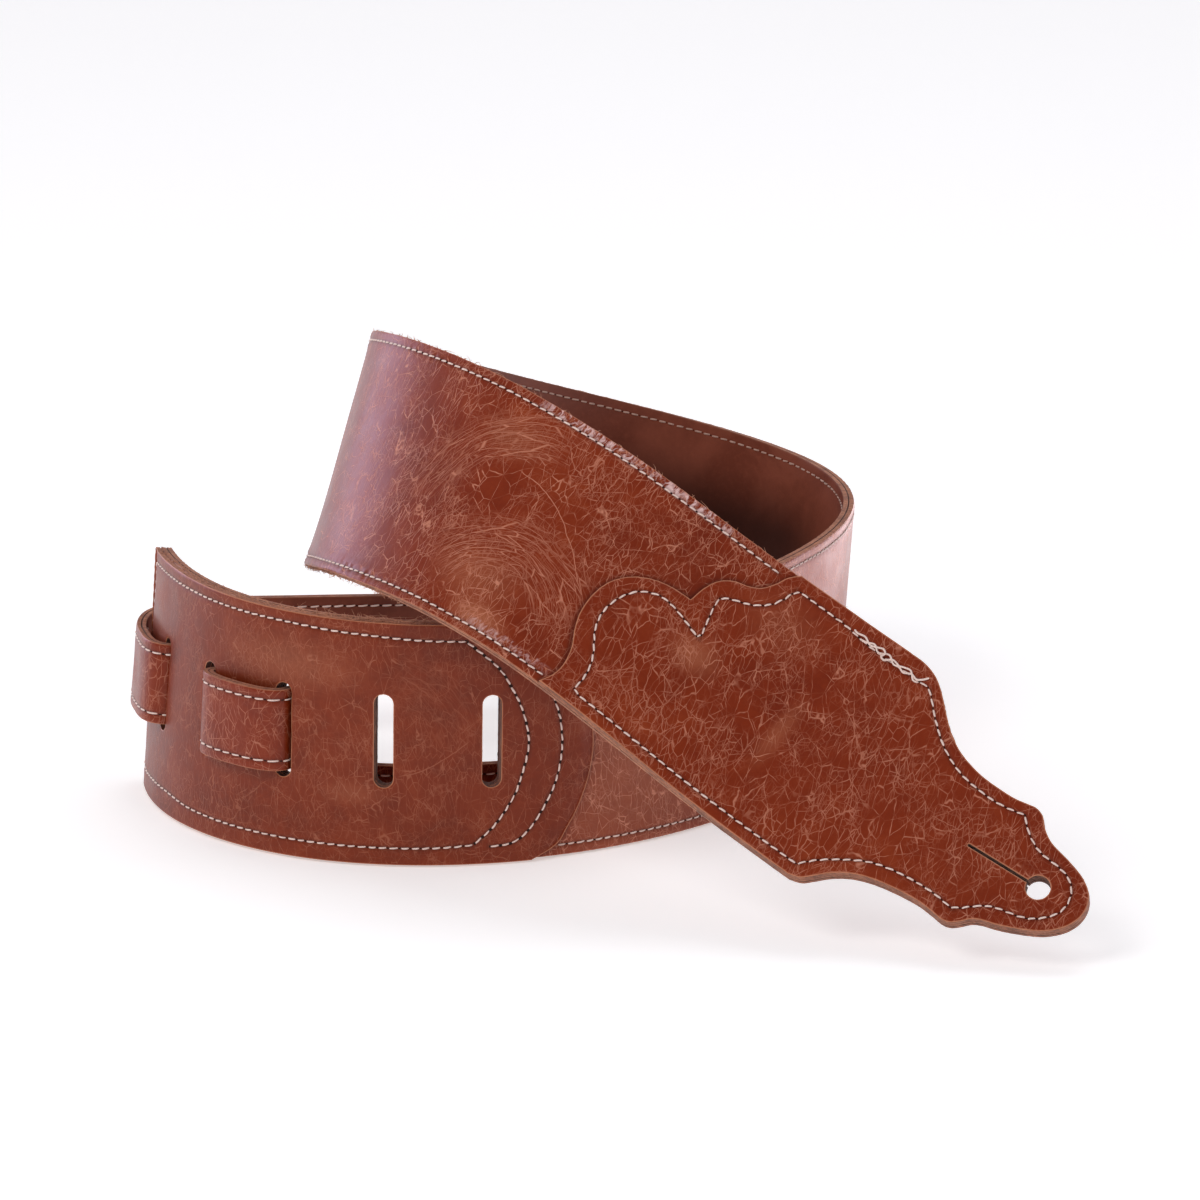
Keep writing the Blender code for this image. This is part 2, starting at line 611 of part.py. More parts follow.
    # ---- tail
    tail, (swing_at, fold_at), total = tail_sheet(strap)
    tail_top = GAP / 2 + TAIL_LAYER
    swing = tail.at(swing_at, 0.0)
    fold = tail.at(fold_at, 0.0)
    half = TAIL_WIDTH / 2
    r = half
    tip_round = [(total - r + r * math.cos(a), r * math.sin(a))
                 for a in [math.pi / 2 * k / 6 for k in range(-6, 7)]]
    inner_round = [(3 * MM, -half), (0.0, -half + 4 * MM), (0.0, half - 4 * MM), (3 * MM, half)]
    pieces = (
        ("tail_woven", inner_round[::1], swing_at - TAIL_CLEAR, (0, 0, 0)),
        ("tail_run", None, None, swing),
        ("tail_tip", None, None, fold))
    woven = [inner_round[1], inner_round[0], (swing_at - TAIL_CLEAR, -half), (swing_at - TAIL_CLEAR, half),
             inner_round[3], inner_round[2]]
    run = strip_outline(swing_at + TAIL_CLEAR, fold_at - TAIL_CLEAR, half)
    tip_outline = [(fold_at + TAIL_CLEAR, -half)] + tip_round + [(fold_at + TAIL_CLEAR, half)]
    end_hole = keyhole(total - 17 * MM, 0.0, 3.2 * MM, 12 * MM, SLIT_WIDE)
    for name, outline, holes, origin, a, b in (
            ("tail_woven", woven, [], (0, 0, 0), 3 * MM, swing_at - TAIL_CLEAR - 0.4 * MM),
            ("tail_run", run, [], swing, swing_at + TAIL_CLEAR + 0.4 * MM, fold_at - TAIL_CLEAR - 0.4 * MM),
            ("tail_tip", tip_outline, [end_hole], fold, fold_at + TAIL_CLEAR + 0.4 * MM, total - 10 * MM)):
        seat_at = (total - 17 * MM, 0.0, 0.0, 1) if holes else None
        cut_leather(name + "_face", tail, outline, holes, GAP / 2, tail_top, tan, 0.42, origin, seat_at)
        cut_leather(name + "_lining", tail, outline, holes, -tail_top, -GAP / 2, dark, 0.6, origin)
        for tag, w in (("upper", -9.6 * MM), ("lower", 9.6 * MM)):
            lay_thread(name + "_thread_" + tag, tail, [(u, w) for u in stations_between(tail, a, b)],
                       tail_top + 0.22 * MM, 1, cream, origin=origin, proud=0.25 * MM)
    return strap, tail, swing_at, fold_at, total


if __name__ == "__main__":
    build()
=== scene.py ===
import bpy
import math
import numpy as np
from mathutils.geometry import delaunay_2d_cdt
from mathutils.kdtree import KDTree
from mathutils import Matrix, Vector


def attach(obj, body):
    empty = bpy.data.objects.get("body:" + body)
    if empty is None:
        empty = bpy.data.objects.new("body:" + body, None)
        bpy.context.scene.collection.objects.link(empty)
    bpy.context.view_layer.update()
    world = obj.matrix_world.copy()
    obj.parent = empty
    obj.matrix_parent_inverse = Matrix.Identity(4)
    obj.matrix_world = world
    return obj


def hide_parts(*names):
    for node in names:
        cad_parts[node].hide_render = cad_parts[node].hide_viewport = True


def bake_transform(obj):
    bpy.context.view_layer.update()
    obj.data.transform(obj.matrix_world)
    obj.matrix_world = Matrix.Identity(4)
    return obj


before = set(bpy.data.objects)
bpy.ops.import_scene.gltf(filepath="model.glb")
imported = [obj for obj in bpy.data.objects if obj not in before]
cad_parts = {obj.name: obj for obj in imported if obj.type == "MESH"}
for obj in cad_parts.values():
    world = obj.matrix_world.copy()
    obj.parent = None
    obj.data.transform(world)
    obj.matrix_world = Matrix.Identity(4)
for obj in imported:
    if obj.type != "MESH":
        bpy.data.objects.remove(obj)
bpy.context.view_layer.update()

RNG = np.random.default_rng(41)
MM = 0.001

# ------------------------------------------------------------------ dimensions
STRAP_WIDTH = 76.2 * MM
H = 38.1
ORIGIN = np.array((3.094, 39.878, 0.186)) * MM
START = (-139.10 * MM, 0.0, 36.40 * MM)
HEADING, PITCH, ROLL = -83.38, 3.40, -3.75
SCHEDULE_LENGTH = 0.940
BEND = (5.63, 10.03, 13.56, 9.57, 6.45, 5.07, 9.09, 16.40, 16.47,
        9.40, 4.85, 8.05, 9.96, 8.72, 7.38, -4.34, 0.0, 0.0)
TWIST = (-1.75, 1.47, 1.21, -0.01, -0.04, -0.23, 1.49, 3.35, 2.92,
         1.37, -0.35, -0.99, -4.75, -5.38, -0.89, 2.34, 0.0, 0.0)
STANDING = 0.300
FACE = (0.06, 1.80)          # heights of the leather layers (mm)
BACK = (-1.80, -0.06)
OVER = (1.86, 3.80)
TAIL_FACE = (0.05, 1.60)
TAIL_LINE = (-1.60, -0.05)
SLOTS = [32.0 + 31.8 * k for k in range(5)]
SLOT_LONG, SLOT_WIDE, SLOT_CENTRE = 29.4, 5.7, 1.0
TAIL_HALF = 12.7
WEAVE_RISE, WEAVE_POWER = 6.8, 3.2
HOLE_R, SLIT_LONG, SLIT_WIDE = 3.7, 21.0, 0.9
TAIL_RUN = ((-144.4, 4.0, 39.6), (-139.6, 14.0, 39.3), (-130.5, 22.0, 39.0),
            (-117.5, 27.2, 38.5), (-100.0, 31.0, 37.8), (-75.0, 38.5, 36.2),
            (-50.0, 47.0, 34.0), (-20.0, 55.0, 30.0), (10.0, 57.0, 25.0),
            (34.0, 49.5, 19.5), (51.0, 34.0, 15.0), (57.5, 12.0, 13.1),
            (53.0, -11.0, 12.9), (39.0, -32.0, 12.9), (16.0, -51.0, 12.9),
            (-11.0, -65.5, 12.9), (-39.0, -73.5, 12.9), (-66.0, -74.5, 12.9),
            (-88.0, -66.5, 12.9))
TAIL_HINGE_AT, TIP_HINGE_AT = 2, 11
STRAP_CUT = 845.0            # the strap's layers are parted here, under the yoke


def unit(v):
    return v / np.linalg.norm(v)


def rows_unit(a):
    return a / np.maximum(np.linalg.norm(a, axis=1, keepdims=True), 1e-12)


def turn(v, axis, angle):
    return (v * math.cos(angle) + np.cross(axis, v) * math.sin(angle)
            + axis * np.dot(axis, v) * (1 - math.cos(angle)))


def smooth(x):
    x = np.clip(x, 0.0, 1.0)
    return x * x * (3 - 2 * x)


# ----------------------------------------------------------------- strap route
def strap_route(length, step=2.0 * MM):
    psi, pit, rol = (math.radians(a) for a in (HEADING, PITCH, ROLL))
    t = np.array([math.cos(psi) * math.cos(pit), math.sin(psi) * math.cos(pit), math.sin(pit)])
    n0 = unit(np.cross([0, 0, 1.0], t))
    b0 = np.cross(t, n0)
    n = n0 * math.cos(rol) + b0 * math.sin(rol)
    b = np.cross(t, n)
    stations = np.linspace(0, SCHEDULE_LENGTH, len(BEND))
    c = np.array(START) + ORIGIN
    out = [(0.0, c, t, n, b, TWIST[0])]
    u = 0.0
    while u < length - 1e-9:
        um = u + step / 2
        k = np.interp(um, stations, BEND)
        tw = np.interp(um, stations, TWIST)
        rot = k * b + tw * t
        size = np.linalg.norm(rot)
        ax = rot / size if size > 1e-9 else t
        c = c + turn(t, ax, size * step / 2) * step
        t = unit(turn(t, ax, size * step))
        n = turn(n, ax, size * step)
        n = unit(n - np.dot(n, t) * t)
        b = np.cross(t, n)
        u += step
        out.append((u, c, t, n, b, float(np.interp(u, stations, TWIST))))
    return out


ROUTE = strap_route(0.972)
RU = np.array([r[0] for r in ROUTE]) / MM
RC, RT, RN, RB = (np.array([r[k] for r in ROUTE]) for k in (1, 2, 3, 4))
RW = np.array([r[5] for r in ROUTE])


def mix3(x, xs, ys):
    return np.stack([np.interp(x, xs, ys[:, k]) for k in range(3)], axis=1)


def strap_normal(u, w):
    t, n, b = mix3(u, RU, RT), mix3(u, RU, RN), mix3(u, RU, RB)
    tw = np.interp(u, RU, RW)
    return -rows_unit(np.cross(b, t - (w * MM * tw)[:, None] * n))


def strap_point(u, w, o):
    u, w, o = (np.atleast_1d(np.asarray(x, float)) for x in (u, w, o))
    u, w, o = np.broadcast_arrays(u, w, o)
    c, b = mix3(u, RU, RC), mix3(u, RU, RB)
    low = (c - H * MM * b)[:, 2]
    keep = smooth((u * MM - STANDING) / 0.080)
    drop = (low - ORIGIN[2]) * (1 - keep)
    p = c + (w * MM)[:, None] * b
    p[:, 2] -= drop * (H - w) * MM / STRAP_WIDTH
    return p + (o * MM)[:, None] * strap_normal(u, w)


# ------------------------------------------------------------------ tail route
def catmull(points, per=12):
    pts = [np.array(p, float) for p in points]
    pts = [2 * pts[0] - pts[1]] + pts + [2 * pts[-1] - pts[-2]]
    out = []
    for k in range(1, len(pts) - 2):
        p0, p1, p2, p3 = pts[k - 1:k + 3]
        for m in range(per):
            s = m / per
            out.append(0.5 * (2 * p1 + (p2 - p0) * s + (2 * p0 - 5 * p1 + 4 * p2 - p3) * s * s
                              + (3 * p1 - p0 - 3 * p2 + p3) * s ** 3))
    out.append(pts[-2])
    return out


def weave(u0, u1, side, start=-1.0, end=1.0, count=28):
    mid, half = (u0 + u1) / 2, (u1 - u0) / 2
    out = []
    for k in range(count + 1):
        a = start + (end - start) * k / count
        ang = a * math.pi / 2
        x = math.copysign(abs(math.sin(ang)) ** (2 / WEAVE_POWER), ang)
        y = abs(math.cos(ang)) ** (2 / WEAVE_POWER)
        out.append((mid + half * x, 1.0 + side * WEAVE_RISE * y))
    return out


def tail_path():
    slot = SLOTS
    uo = [(slot[2] + 25 - 4 * k, 1.0 - WEAVE_RISE) for k in range(3)]
    uo += weave(slot[2] + 28, slot[2], -1, 0.0, 1.0, 14)[1:]
    uo += weave(slot[2], slot[1], +1)[1:]
    uo += weave(slot[1], slot[0], -1)[1:]
    uo += weave(slot[0], slot[0] - 24, +1, -1.0, 0.0, 14)[1:]
    base, path = [], []
    for u, o in uo:
        up = unit((strap_point(u, SLOT_CENTRE + 5, 0) - strap_point(u, SLOT_CENTRE - 5, 0))[0])
        path.append((strap_point(u, SLOT_CENTRE, o)[0], up))
    beside = strap_point(6.0, SLOT_CENTRE, 7.4)[0]
    control = [path[-1][0], beside] + [np.array(p) * MM + ORIGIN for p in TAIL_RUN]
    per = 12
    woven = len(path)
    run = catmull(control, per)
    lean_a, lean_b = path[-1][1], unit(np.array([0.10, 0.04, 0.99]))
    for k, p in enumerate(run[1:], 1):
        f = k / per
        if f < 3:
            up = unit(lean_a * (1 - f / 3) + lean_b * f / 3)
        else:
            g = min((f - 3) / 6, 1.0)
            up = unit(lean_b * (1 - g) + np.array([0, 0, 1.0]) * g)
        path.append((p, up))
    pts = np.array([p for p, _ in path])
    ups = np.array([q for _, q in path])
    length = np.concatenate([[0], np.cumsum(np.linalg.norm(np.diff(pts, axis=0), axis=1))])
    mark = [length[woven - 1 + per * (k + 2)] for k in (TAIL_HINGE_AT, TIP_HINGE_AT)]
    return pts, ups, length / MM, [m / MM for m in mark]


def tail_frames():
    pts, ups, length, mark = tail_path()
    total = length[-1]
    xs = np.arange(-12, total + 12, 0.5)
    first, last = unit(pts[1] - pts[0]), unit(pts[-1] - pts[-2])
    place = mix3(np.clip(xs, 0, total), length, pts)
    place += np.minimum(xs, 0)[:, None] * MM * first
    place += np.maximum(xs - total, 0)[:, None] * MM * last
    rise = mix3(np.clip(xs, 0, total), length, ups)
    kernel = np.exp(-0.5 * (np.arange(-6, 7) * 0.5 / 1.0) ** 2)
    kernel /= kernel.sum()
    pad = lambda a: np.pad(a, ((6, 6), (0, 0)), mode="edge")
    place = np.stack([np.convolve(pad(place)[:, k], kernel, "valid") for k in range(3)], axis=1)
    t = rows_unit(np.gradient(place, axis=0))
    b = rise - (rise * t).sum(1, keepdims=True) * t
    b = rows_unit(b)
    n = np.cross(b, t)
    return xs, place, b, n, mark, total


TX, TP, TB, TN, (SWING_AT, FOLD_AT), TAIL_TOTAL = tail_frames()


def tail_point(u, w, o):
    u, w, o = (np.atleast_1d(np.asarray(x, float)) for x in (u, w, o))
    u, w, o = np.broadcast_arrays(u, w, o)
    return (mix3(u, TX, TP) - (w * MM)[:, None] * mix3(u, TX, TB)
            + (o * MM)[:, None] * rows_unit(mix3(u, TX, TN)))


# ------------------------------------------------------------- flat outlines
def spline(points, step=1.0, closed=False):
    """A smooth flat line through points, with a point about every step mm."""
    pts = [np.array(p, float) for p in points]
    n = len(pts)
    out = []
    last = n if closed else n - 1
    for k in range(last):
        p0 = pts[(k - 1) % n] if closed or k > 0 else 2 * pts[0] - pts[1]
        p1, p2 = pts[k], pts[(k + 1) % n]
        p3 = pts[(k + 2) % n] if closed or k < n - 2 else 2 * pts[-1] - pts[-2]
        m = max(1, int(math.ceil(np.linalg.norm(p2 - p1) / step)))
        for j in range(m):
            s = j / m
            out.append(tuple(0.5 * (2 * p1 + (p2 - p0) * s + (2 * p0 - 5 * p1 + 4 * p2 - p3) * s * s
                                    + (3 * p1 - p0 - 3 * p2 + p3) * s ** 3)))
    if not closed:
        out.append(tuple(pts[-1]))
    return out


def straight(a, b, step=1.2):
    m = max(1, int(math.ceil(math.hypot(b[0] - a[0], b[1] - a[1]) / step)))
    return [(a[0] + (b[0] - a[0]) * k / m, a[1] + (b[1] - a[1]) * k / m) for k in range(m + 1)]


def joined(*runs):
    out = []
    for r in runs:
        for p in r:
            if not out or math.hypot(p[0] - out[-1][0], p[1] - out[-1][1]) > 0.05:
                out.append((float(p[0]), float(p[1])))
    if math.hypot(out[0][0] - out[-1][0], out[0][1] - out[-1][1]) < 0.05:
        out.pop()
    return out


def arc(u, w, r, a0, a1, n=8):
    return [(u + r * math.cos(math.radians(a0 + (a1 - a0) * k / n)),
             w + r * math.sin(math.radians(a0 + (a1 - a0) * k / n))) for k in range(n + 1)]


def slot_hole(u):
    r, s = SLOT_WIDE / 2, SLOT_LONG / 2
    c = SLOT_CENTRE
    return joined(arc(u, c + s - r, r, 0, 180, 12), straight((u - r, c + s - r), (u - r, c - s + r), 0.9),
                  arc(u, c - s + r, r, 180, 360, 12), straight((u + r, c - s + r), (u + r, c + s - r), 0.9))


def keyhole(u, w, r, length, wide, lean=0.0):
    half = math.asin(wide / 2 / r)
    pts = []
    for k in range(29):
        a = math.pi + half + (2 * math.pi - 2 * half) * k / 28
        pts.append((r * math.cos(a), r * math.sin(a)))
    pts += straight((-r - 0.4, wide / 2), (-length + 0.3, wide / 2), 0.8)
    pts += [(-length, 0.0)]
    pts += straight((-length + 0.3, -wide / 2), (-r - 0.4, -wide / 2), 0.8)
    c, s = math.cos(lean), math.sin(lean)
    return [(u + x * c - y * s, w + x * s + y * c) for x, y in pts]


TAB_TIP = 76.6
TAB_START, TAB_AXIS_W, TAB_LEAN = 880.0, -2.6, math.radians(3.6)


def tab_point(x, y):
    c, s = math.cos(TAB_LEAN), math.sin(TAB_LEAN)
    return (TAB_START + x * c - y * s, TAB_AXIS_W + x * s + y * c)


# tab's cut edge, both flanks from the shoulder to the tip (u, w)
TAB_UP = ((866.0, 38.1), (871.5, 37.9), (876.6, 36.4), (880.9, 33.6), (886.3, 28.9), (891.0, 25.2),
          (896.4, 22.2), (902.0, 20.5), (908.3, 19.6), (917.3, 19.7), (922.5, 20.6), (925.6, 21.2),
          (928.6, 20.3), (931.5, 17.6), (935.9, 15.2), (943.4, 13.7), (949.2, 12.1), (953.3, 9.7),
          (955.6, 6.6), (956.4, 2.6), (955.5, -1.5), (953.3, -5.0), (950.0, -8.2), (946.1, -10.6))
TAB_DOWN = ((941.6, -12.9), (937.4, -14.7), (933.9, -15.9), (931.2, -17.4), (928.9, -20.0), (926.6, -22.0),
            (924.0, -22.6), (920.0, -22.3), (914.5, -22.2), (906.5, -23.3), (899.8, -24.9), (894.2, -27.2),
            (889.6, -30.4), (885.9, -34.2), (883.2, -36.8), (879.6, -38.1))
YOKE_REAR = ((785.2, -38.1), (787.1, -34.0), (787.5, -29.4), (786.0, -23.7), (782.9, -18.1),
             (780.9, -12.6), (780.4, -5.7), (781.9, 0.6), (785.7, 5.6), (791.3, 9.0),
             (797.5, 10.6), (803.4, 11.0))
YOKE_REAR_2 = ((803.4, 11.0), (804.2, 16.2), (806.2, 21.0), (809.8, 24.0),
               (814.2, 25.5), (817.6, 27.6), (820.0, 31.2), (821.7, 35.0), (824.5, 38.1))


def tab_edge():
    return joined(spline(TAB_UP + TAB_DOWN, 0.9))[::-1]      # from the lower flank to the upper


def panel_edge():
    ws = [-36.4, -34.0, -29, -22, -12, -1, 10, 20, 29, H]
    run = [(191.2 - 0.0115 * (w + 2.0) ** 2, w) for w in ws]
    return spline([(191.2 - 0.0115 * 36.1 ** 2 - 4.6, -H), (172.0, -37.9)] + run[1:], 1.0)


def body_outline():
    c = 5.0
    return joined(arc(c, -H + c, c, 180, 270, 7), straight((c, -H), (STRAP_CUT, -H), 1.4),
                  straight((STRAP_CUT, -H), (879.6, -H), 1.2), tab_edge(),
                  straight((866.0, H), (STRAP_CUT, H), 1.2), straight((STRAP_CUT, H), (0.6, H), 1.4),
                  straight((0.0, H - 0.6), (0.0, -H + c), 1.0))


def panel_outline():
    c = 5.0
    e = panel_edge()
    return joined(arc(c, -H + c, c, 180, 270, 7), straight((c, -H), e[0], 1.2), e,
                  straight(e[-1], (0.6, H), 1.2), straight((0.0, H - 0.6), (0.0, -H + c), 1.0))


def yoke_outline():
    rear = joined(spline(YOKE_REAR, 0.9), spline(YOKE_REAR_2, 0.9))
    return joined(straight(rear[0], (879.6, -H), 1.2), tab_edge(), straight((866.0, H), rear[-1], 1.2), rear[::-1])


def tail_outline():
    r = TAIL_HALF
    return joined(arc(4.0, -r + 4, 4, 180, 270, 6), straight((4, -r), (TAIL_TOTAL - r, -r), 1.2),
                  arc(TAIL_TOTAL - r, 0, r, -90, 90, 24), straight((TAIL_TOTAL - r, r), (4, r), 1.2),
                  arc(4.0, r - 4, 4, 90, 180, 6))


HOLE_U, HOLE_W = tab_point(61.1, 0.6)
PIN = keyhole(HOLE_U, HOLE_W, HOLE_R, SLIT_LONG + HOLE_R, SLIT_WIDE, TAB_LEAN)
TAIL_PIN = keyhole(TAIL_TOTAL - 17, 0.0, 3.2, 12, SLIT_WIDE)

# ------------------------------------------------------------------ seam rows
PANEL_RIM = joined(
    spline([(151.6, 32.9), (149, 33.0), (137, 33.2), (124, 33.9), (113, 34.2), (100, 34.7)], 2),
    straight((98, 34.7), (8.0, 34.7), 4), [(5.2, 33.8), (4.5, 31.5)],
    straight((4.5, 31.0), (4.5, -25.0), 4),
    spline([(4.5, -25.0), (5.1, -28.5), (8.0, -31.0), (14, -31.9), (25, -31.3), (40.9, -31.2), (53, -32.1),
            (66, -32.5), (92, -32.7), (138, -32.7), (154.1, -31.9)], 3))
ARC_IN = spline([(151.5, 32.9), (155.3, 29.6), (159.2, 26.1), (162.2, 22.7), (165.1, 17.4), (167.7, 12.1),
                 (169.3, 6.9), (170.3, 1.1), (170, -3.6), (168.6, -9), (166.8, -15.2), (164.5, -19.5),
                 (160.9, -25), (157.1, -29), (154.1, -31.6)], 2)
ARC_OUT = spline([(164.5, 34.2), (169.0, 29.0), (173.6, 23.0), (176.6, 17.0), (178.6, 11.6), (179.9, 7.5),
                  (180.5, 3), (180.8, -2.2), (180.1, -8.5), (178.5, -14.7), (175.8, -20.2), (172.8, -25.3),
                  (170, -28.9), (166.7, -31.5), (163.4, -32.4), (158.6, -32.6)], 2)
YOKE_SEAM_REAR = joined(
    straight((879.6, -34.3), (794.5, -34.3), 4),
    spline([(794.5, -34.3), (794.8, -29.5), (793.7, -24.2), (791.0, -19.4), (787.7, -14.8), (786.1, -9.4),
            (786.5, -3.7), (789.0, 1.8), (792.4, 4.7), (797.1, 6.2), (804.3, 5.2), (813.4, 2.6)], 2),
    spline([(813.4, 2.6), (811.3, 9.7), (809.7, 16.1), (811.0, 18.0), (815.2, 19.8), (819.4, 21.7),
            (822.7, 24.7), (824.9, 28.2), (826.3, 33.7)], 2),
    straight((826.3, 33.7), (844.1, 33.5), 4), spline([(844.1, 33.5), (857.2, 32.3), (877.8, 32.3)], 3))
TAB_SEAM = joined(
    spline([(877.8, 32.3), (883.3, 26.9), (891.9, 20.4), (901.4, 16.5), (911, 15.5), (917.7, 15.9), (924.3, 17.4)], 2),
    spline([(924.3, 17.4), (927.8, 14.2), (934.4, 10.9), (942, 10.4), (946.9, 9.1), (949.9, 6.3), (951.2, 1.3),
            (949.6, -2.7), (945.6, -6.8), (940.8, -8.9), (934.2, -10.6), (930, -13.4), (924.9, -18.3)], 2),
    spline([(924.9, -18.3), (918.8, -17.6), (911.8, -17.8), (904.7, -18.8), (897.8, -20.6), (892.2, -23.5),
            (884.5, -29.1), (879.6, -34.3)], 2))
YOKE_LOOP = joined(YOKE_SEAM_REAR, TAB_SEAM)
UPPER_ROW = straight((184.0, 34.9), (818.5, 35.1), 5)
LOWER_ROW = joined(straight((180.3, -34.8), (480, -35.0), 5), straight((480, -35.0), (785, -35.4), 5))


def resample(path, pitch, closed=False, jitter=0.0):
    pts = np.array(path + ([path[0]] if closed else []), float)
    s = np.concatenate([[0], np.cumsum(np.linalg.norm(np.diff(pts, axis=0), axis=1))])
    n = max(2, int(round(s[-1] / pitch)))
    at = np.linspace(0, s[-1], n + 1)
    if jitter:
        at[1:-1] += RNG.uniform(-jitter, jitter, n - 1) * pitch
    return np.stack([np.interp(at, s, pts[:, 0]), np.interp(at, s, pts[:, 1])], axis=1), at


class Rows:
    """Seam rows on one surface, to measure how far a point is from the nearest."""

    def __init__(self, rows):
        self.items = []
        pts, meta = [], []
        for k, (path, pitch, closed, pull) in enumerate(rows):
            p, at = resample(path, 0.4, closed)
            pts.append(p)
            meta += [(k, a / pitch, pull) for a in at]
        self.pts = np.concatenate(pts)
        self.meta = np.array(meta)
        self.tree = tree_of(self.pts)

    def near(self, u, w):
        d, i = nearest(self.tree, u, w)
        m = self.meta[i]
        return d, m[:, 1], m[:, 2]


def tree_of(pts):
    tree = KDTree(len(pts))
    for k, p in enumerate(pts):
        tree.insert((p[0], p[1], 0.0), k)
    tree.balance()
    return tree


def nearest(tree, u, w):
    d, i = np.empty(len(u)), np.empty(len(u), int)
    for k in range(len(u)):
        _, idx, dist = tree.find((u[k], w[k], 0.0))
        d[k], i[k] = dist, idx
    return d, i


FACE_ROWS = Rows([(UPPER_ROW, 3.15, False, 1.0), (LOWER_ROW, 3.15, False, 1.4)])
PANEL_ROWS = Rows([(PANEL_RIM, 3.15, False, 0.55), (ARC_IN, 3.15, False, 0.5), (ARC_OUT, 3.15, False, 0.5)])
YOKE_ROWS = Rows([(YOKE_LOOP, 3.3, True, 0.6)])
TAIL_ROWS = Rows([([(3.0, -9.6), (TAIL_TOTAL - 14, -9.6)], 4.0, False, 0.4),
                  ([(3.0, 9.6), (TAIL_TOTAL - 14, 9.6)], 4.0, False, 0.4)])

WAVES = [(RNG.uniform(0.5, 1.6), RNG.uniform(0, 2 * math.pi), RNG.uniform(0, 2 * math.pi)) for _ in range(12)]


def wander(u, w, size):
    """A smooth seeded unevenness between -1 and 1, of bumps about size mm wide."""
    out = np.zeros(len(u))
    for f, a, ph in WAVES:
        out += np.sin((u * math.cos(a) + w * math.sin(a)) * 2 * math.pi * f / size + ph)
    return out / 5.0


def seam_relief(rows, u, w):
    d, s, pull = rows.near(u, w)
    out = -0.17 * np.exp(-(d / 0.80) ** 2)
    out += 0.13 * pull * np.exp(-((d - 1.7) / 1.0) ** 2)
    out += 0.11 * pull * np.cos(2 * math.pi * s) * np.exp(-(d / 2.0) ** 2) * (1 - np.exp(-(d / 0.6) ** 2))
    return out, d


# fans of creases: centre u, w, radii, and the angles they run between (degrees)
CREASES = ((748.0, -8.0, (34.0, 37.0, 39.5, 43.0), 95.0, 172.0),
           (757.0, -34.0, (22.0, 24.5, 27.0, 30.0, 33.5), 30.0, 150.0),
           (772.0, -40.0, (30.0, 33.0, 37.0), 60.0, 130.0))


def grain_relief(kind, u, w):
    if kind == "face":
        out, d = seam_relief(FACE_ROWS, u, w)
        # the rim outside the upper row is crinkled, and the lower row's inner side
        rim = smooth((np.abs(w) - 35.2) / 0.8)
        upper = smooth((u - 640) / 60) * smooth((815 - u) / 15) * (w > 0)
        out += rim * upper * (0.17 * wander(u, w * 0.4, 2.6) + 0.12 * wander(u + 9, w * 0.3, 1.5) - 0.22 * (w - 35.2))
        puck = smooth((u - 640) / 50) * smooth((812 - u) / 15)
        out += puck * 0.13 * np.exp(-((d - 1.3) / 1.3) ** 2) * wander(u, w * 0.3, 3.4)
        low = np.exp(-((u - 758) / 16) ** 2) * np.exp(-((w + 31.5) / 3.2) ** 2)
        out += low * 0.20 * wander(u, w * 0.4, 3.0)
        # fans of curved creases
        for cu, cw, radii, a0, a1 in CREASES:
            r = np.hypot(u - cu, w - cw)
            ang = np.degrees(np.arctan2(w - cw, u - cu))
            ring = smooth((ang - a0) / 14) * smooth((a1 - ang) / 14)
            for k, rr in enumerate(radii):
                x = r - rr - 0.7 * np.sin(ang / 9.0 + k * 2.1)
                out -= ring * 0.12 * np.exp(-(x / 0.75) ** 2)
        bend = smooth((u - 455) / 30) * smooth((640 - u) / 40)
        out += bend * 0.10 * np.exp(-(d / 4.5) ** 2) * wander(u, w * 0.15, 2.6)
        out += 0.14 * wander(u, w * 0.5, 34.0)
        # soft folds across the strap behind the yoke and along the bend
        for at, lean, depth, wide in ((768.0, 0.16, 0.22, 2.2), (774.0, 0.20, 0.20, 1.8), (757.0, 0.10, 0.16, 3.0),
                                      (612.0, -0.55, 0.18, 3.4), (598.0, -0.5, 0.15, 2.6), (585.0, -0.4, 0.14, 2.4)):
            x = u - at - lean * w + 3.0 * np.sin(w / 11.0 + at)
            out -= depth * np.exp(-(x / wide) ** 2) * (0.6 + 0.4 * np.sin(w / 7.0 + at))
        return out, d
    if kind == "panel":
        out, d = seam_relief(PANEL_ROWS, u, w)
        out += 0.10 * wander(u, w, 30.0)
        out -= 1.25 * (1 - smooth(u / 9.0))              # skived towards the free end
        edge = 191.2 - 0.0115 * (w + 2.0) ** 2
        out -= 0.75 * (1 - smooth((edge - u) / 5.0))     # skived along the round end
        return out, d
    if kind == "yoke":
        out, d = seam_relief(YOKE_ROWS, u, w)
        out += 0.13 * wander(u, w * 0.6, 26.0)
        for at, lean, depth, wide in ((833.0, 0.28, 0.14, 3.0), (846.0, 0.32, 0.16, 2.4), (858.0, 0.22, 0.10, 3.0)):
            x = u - at - lean * w + 2.5 * np.sin(w / 9.0 + at)
            out -= depth * np.exp(-(x / wide) ** 2) * (0.6 + 0.4 * np.sin(w / 8.0 + at))
        return out, d
    if kind == "tail":
        out, d = seam_relief(TAIL_ROWS, u, w)
        out += 0.06 * wander(u, w, 16.0)
        return out, d
    return np.zeros(len(u)), np.full(len(u), 9.0)


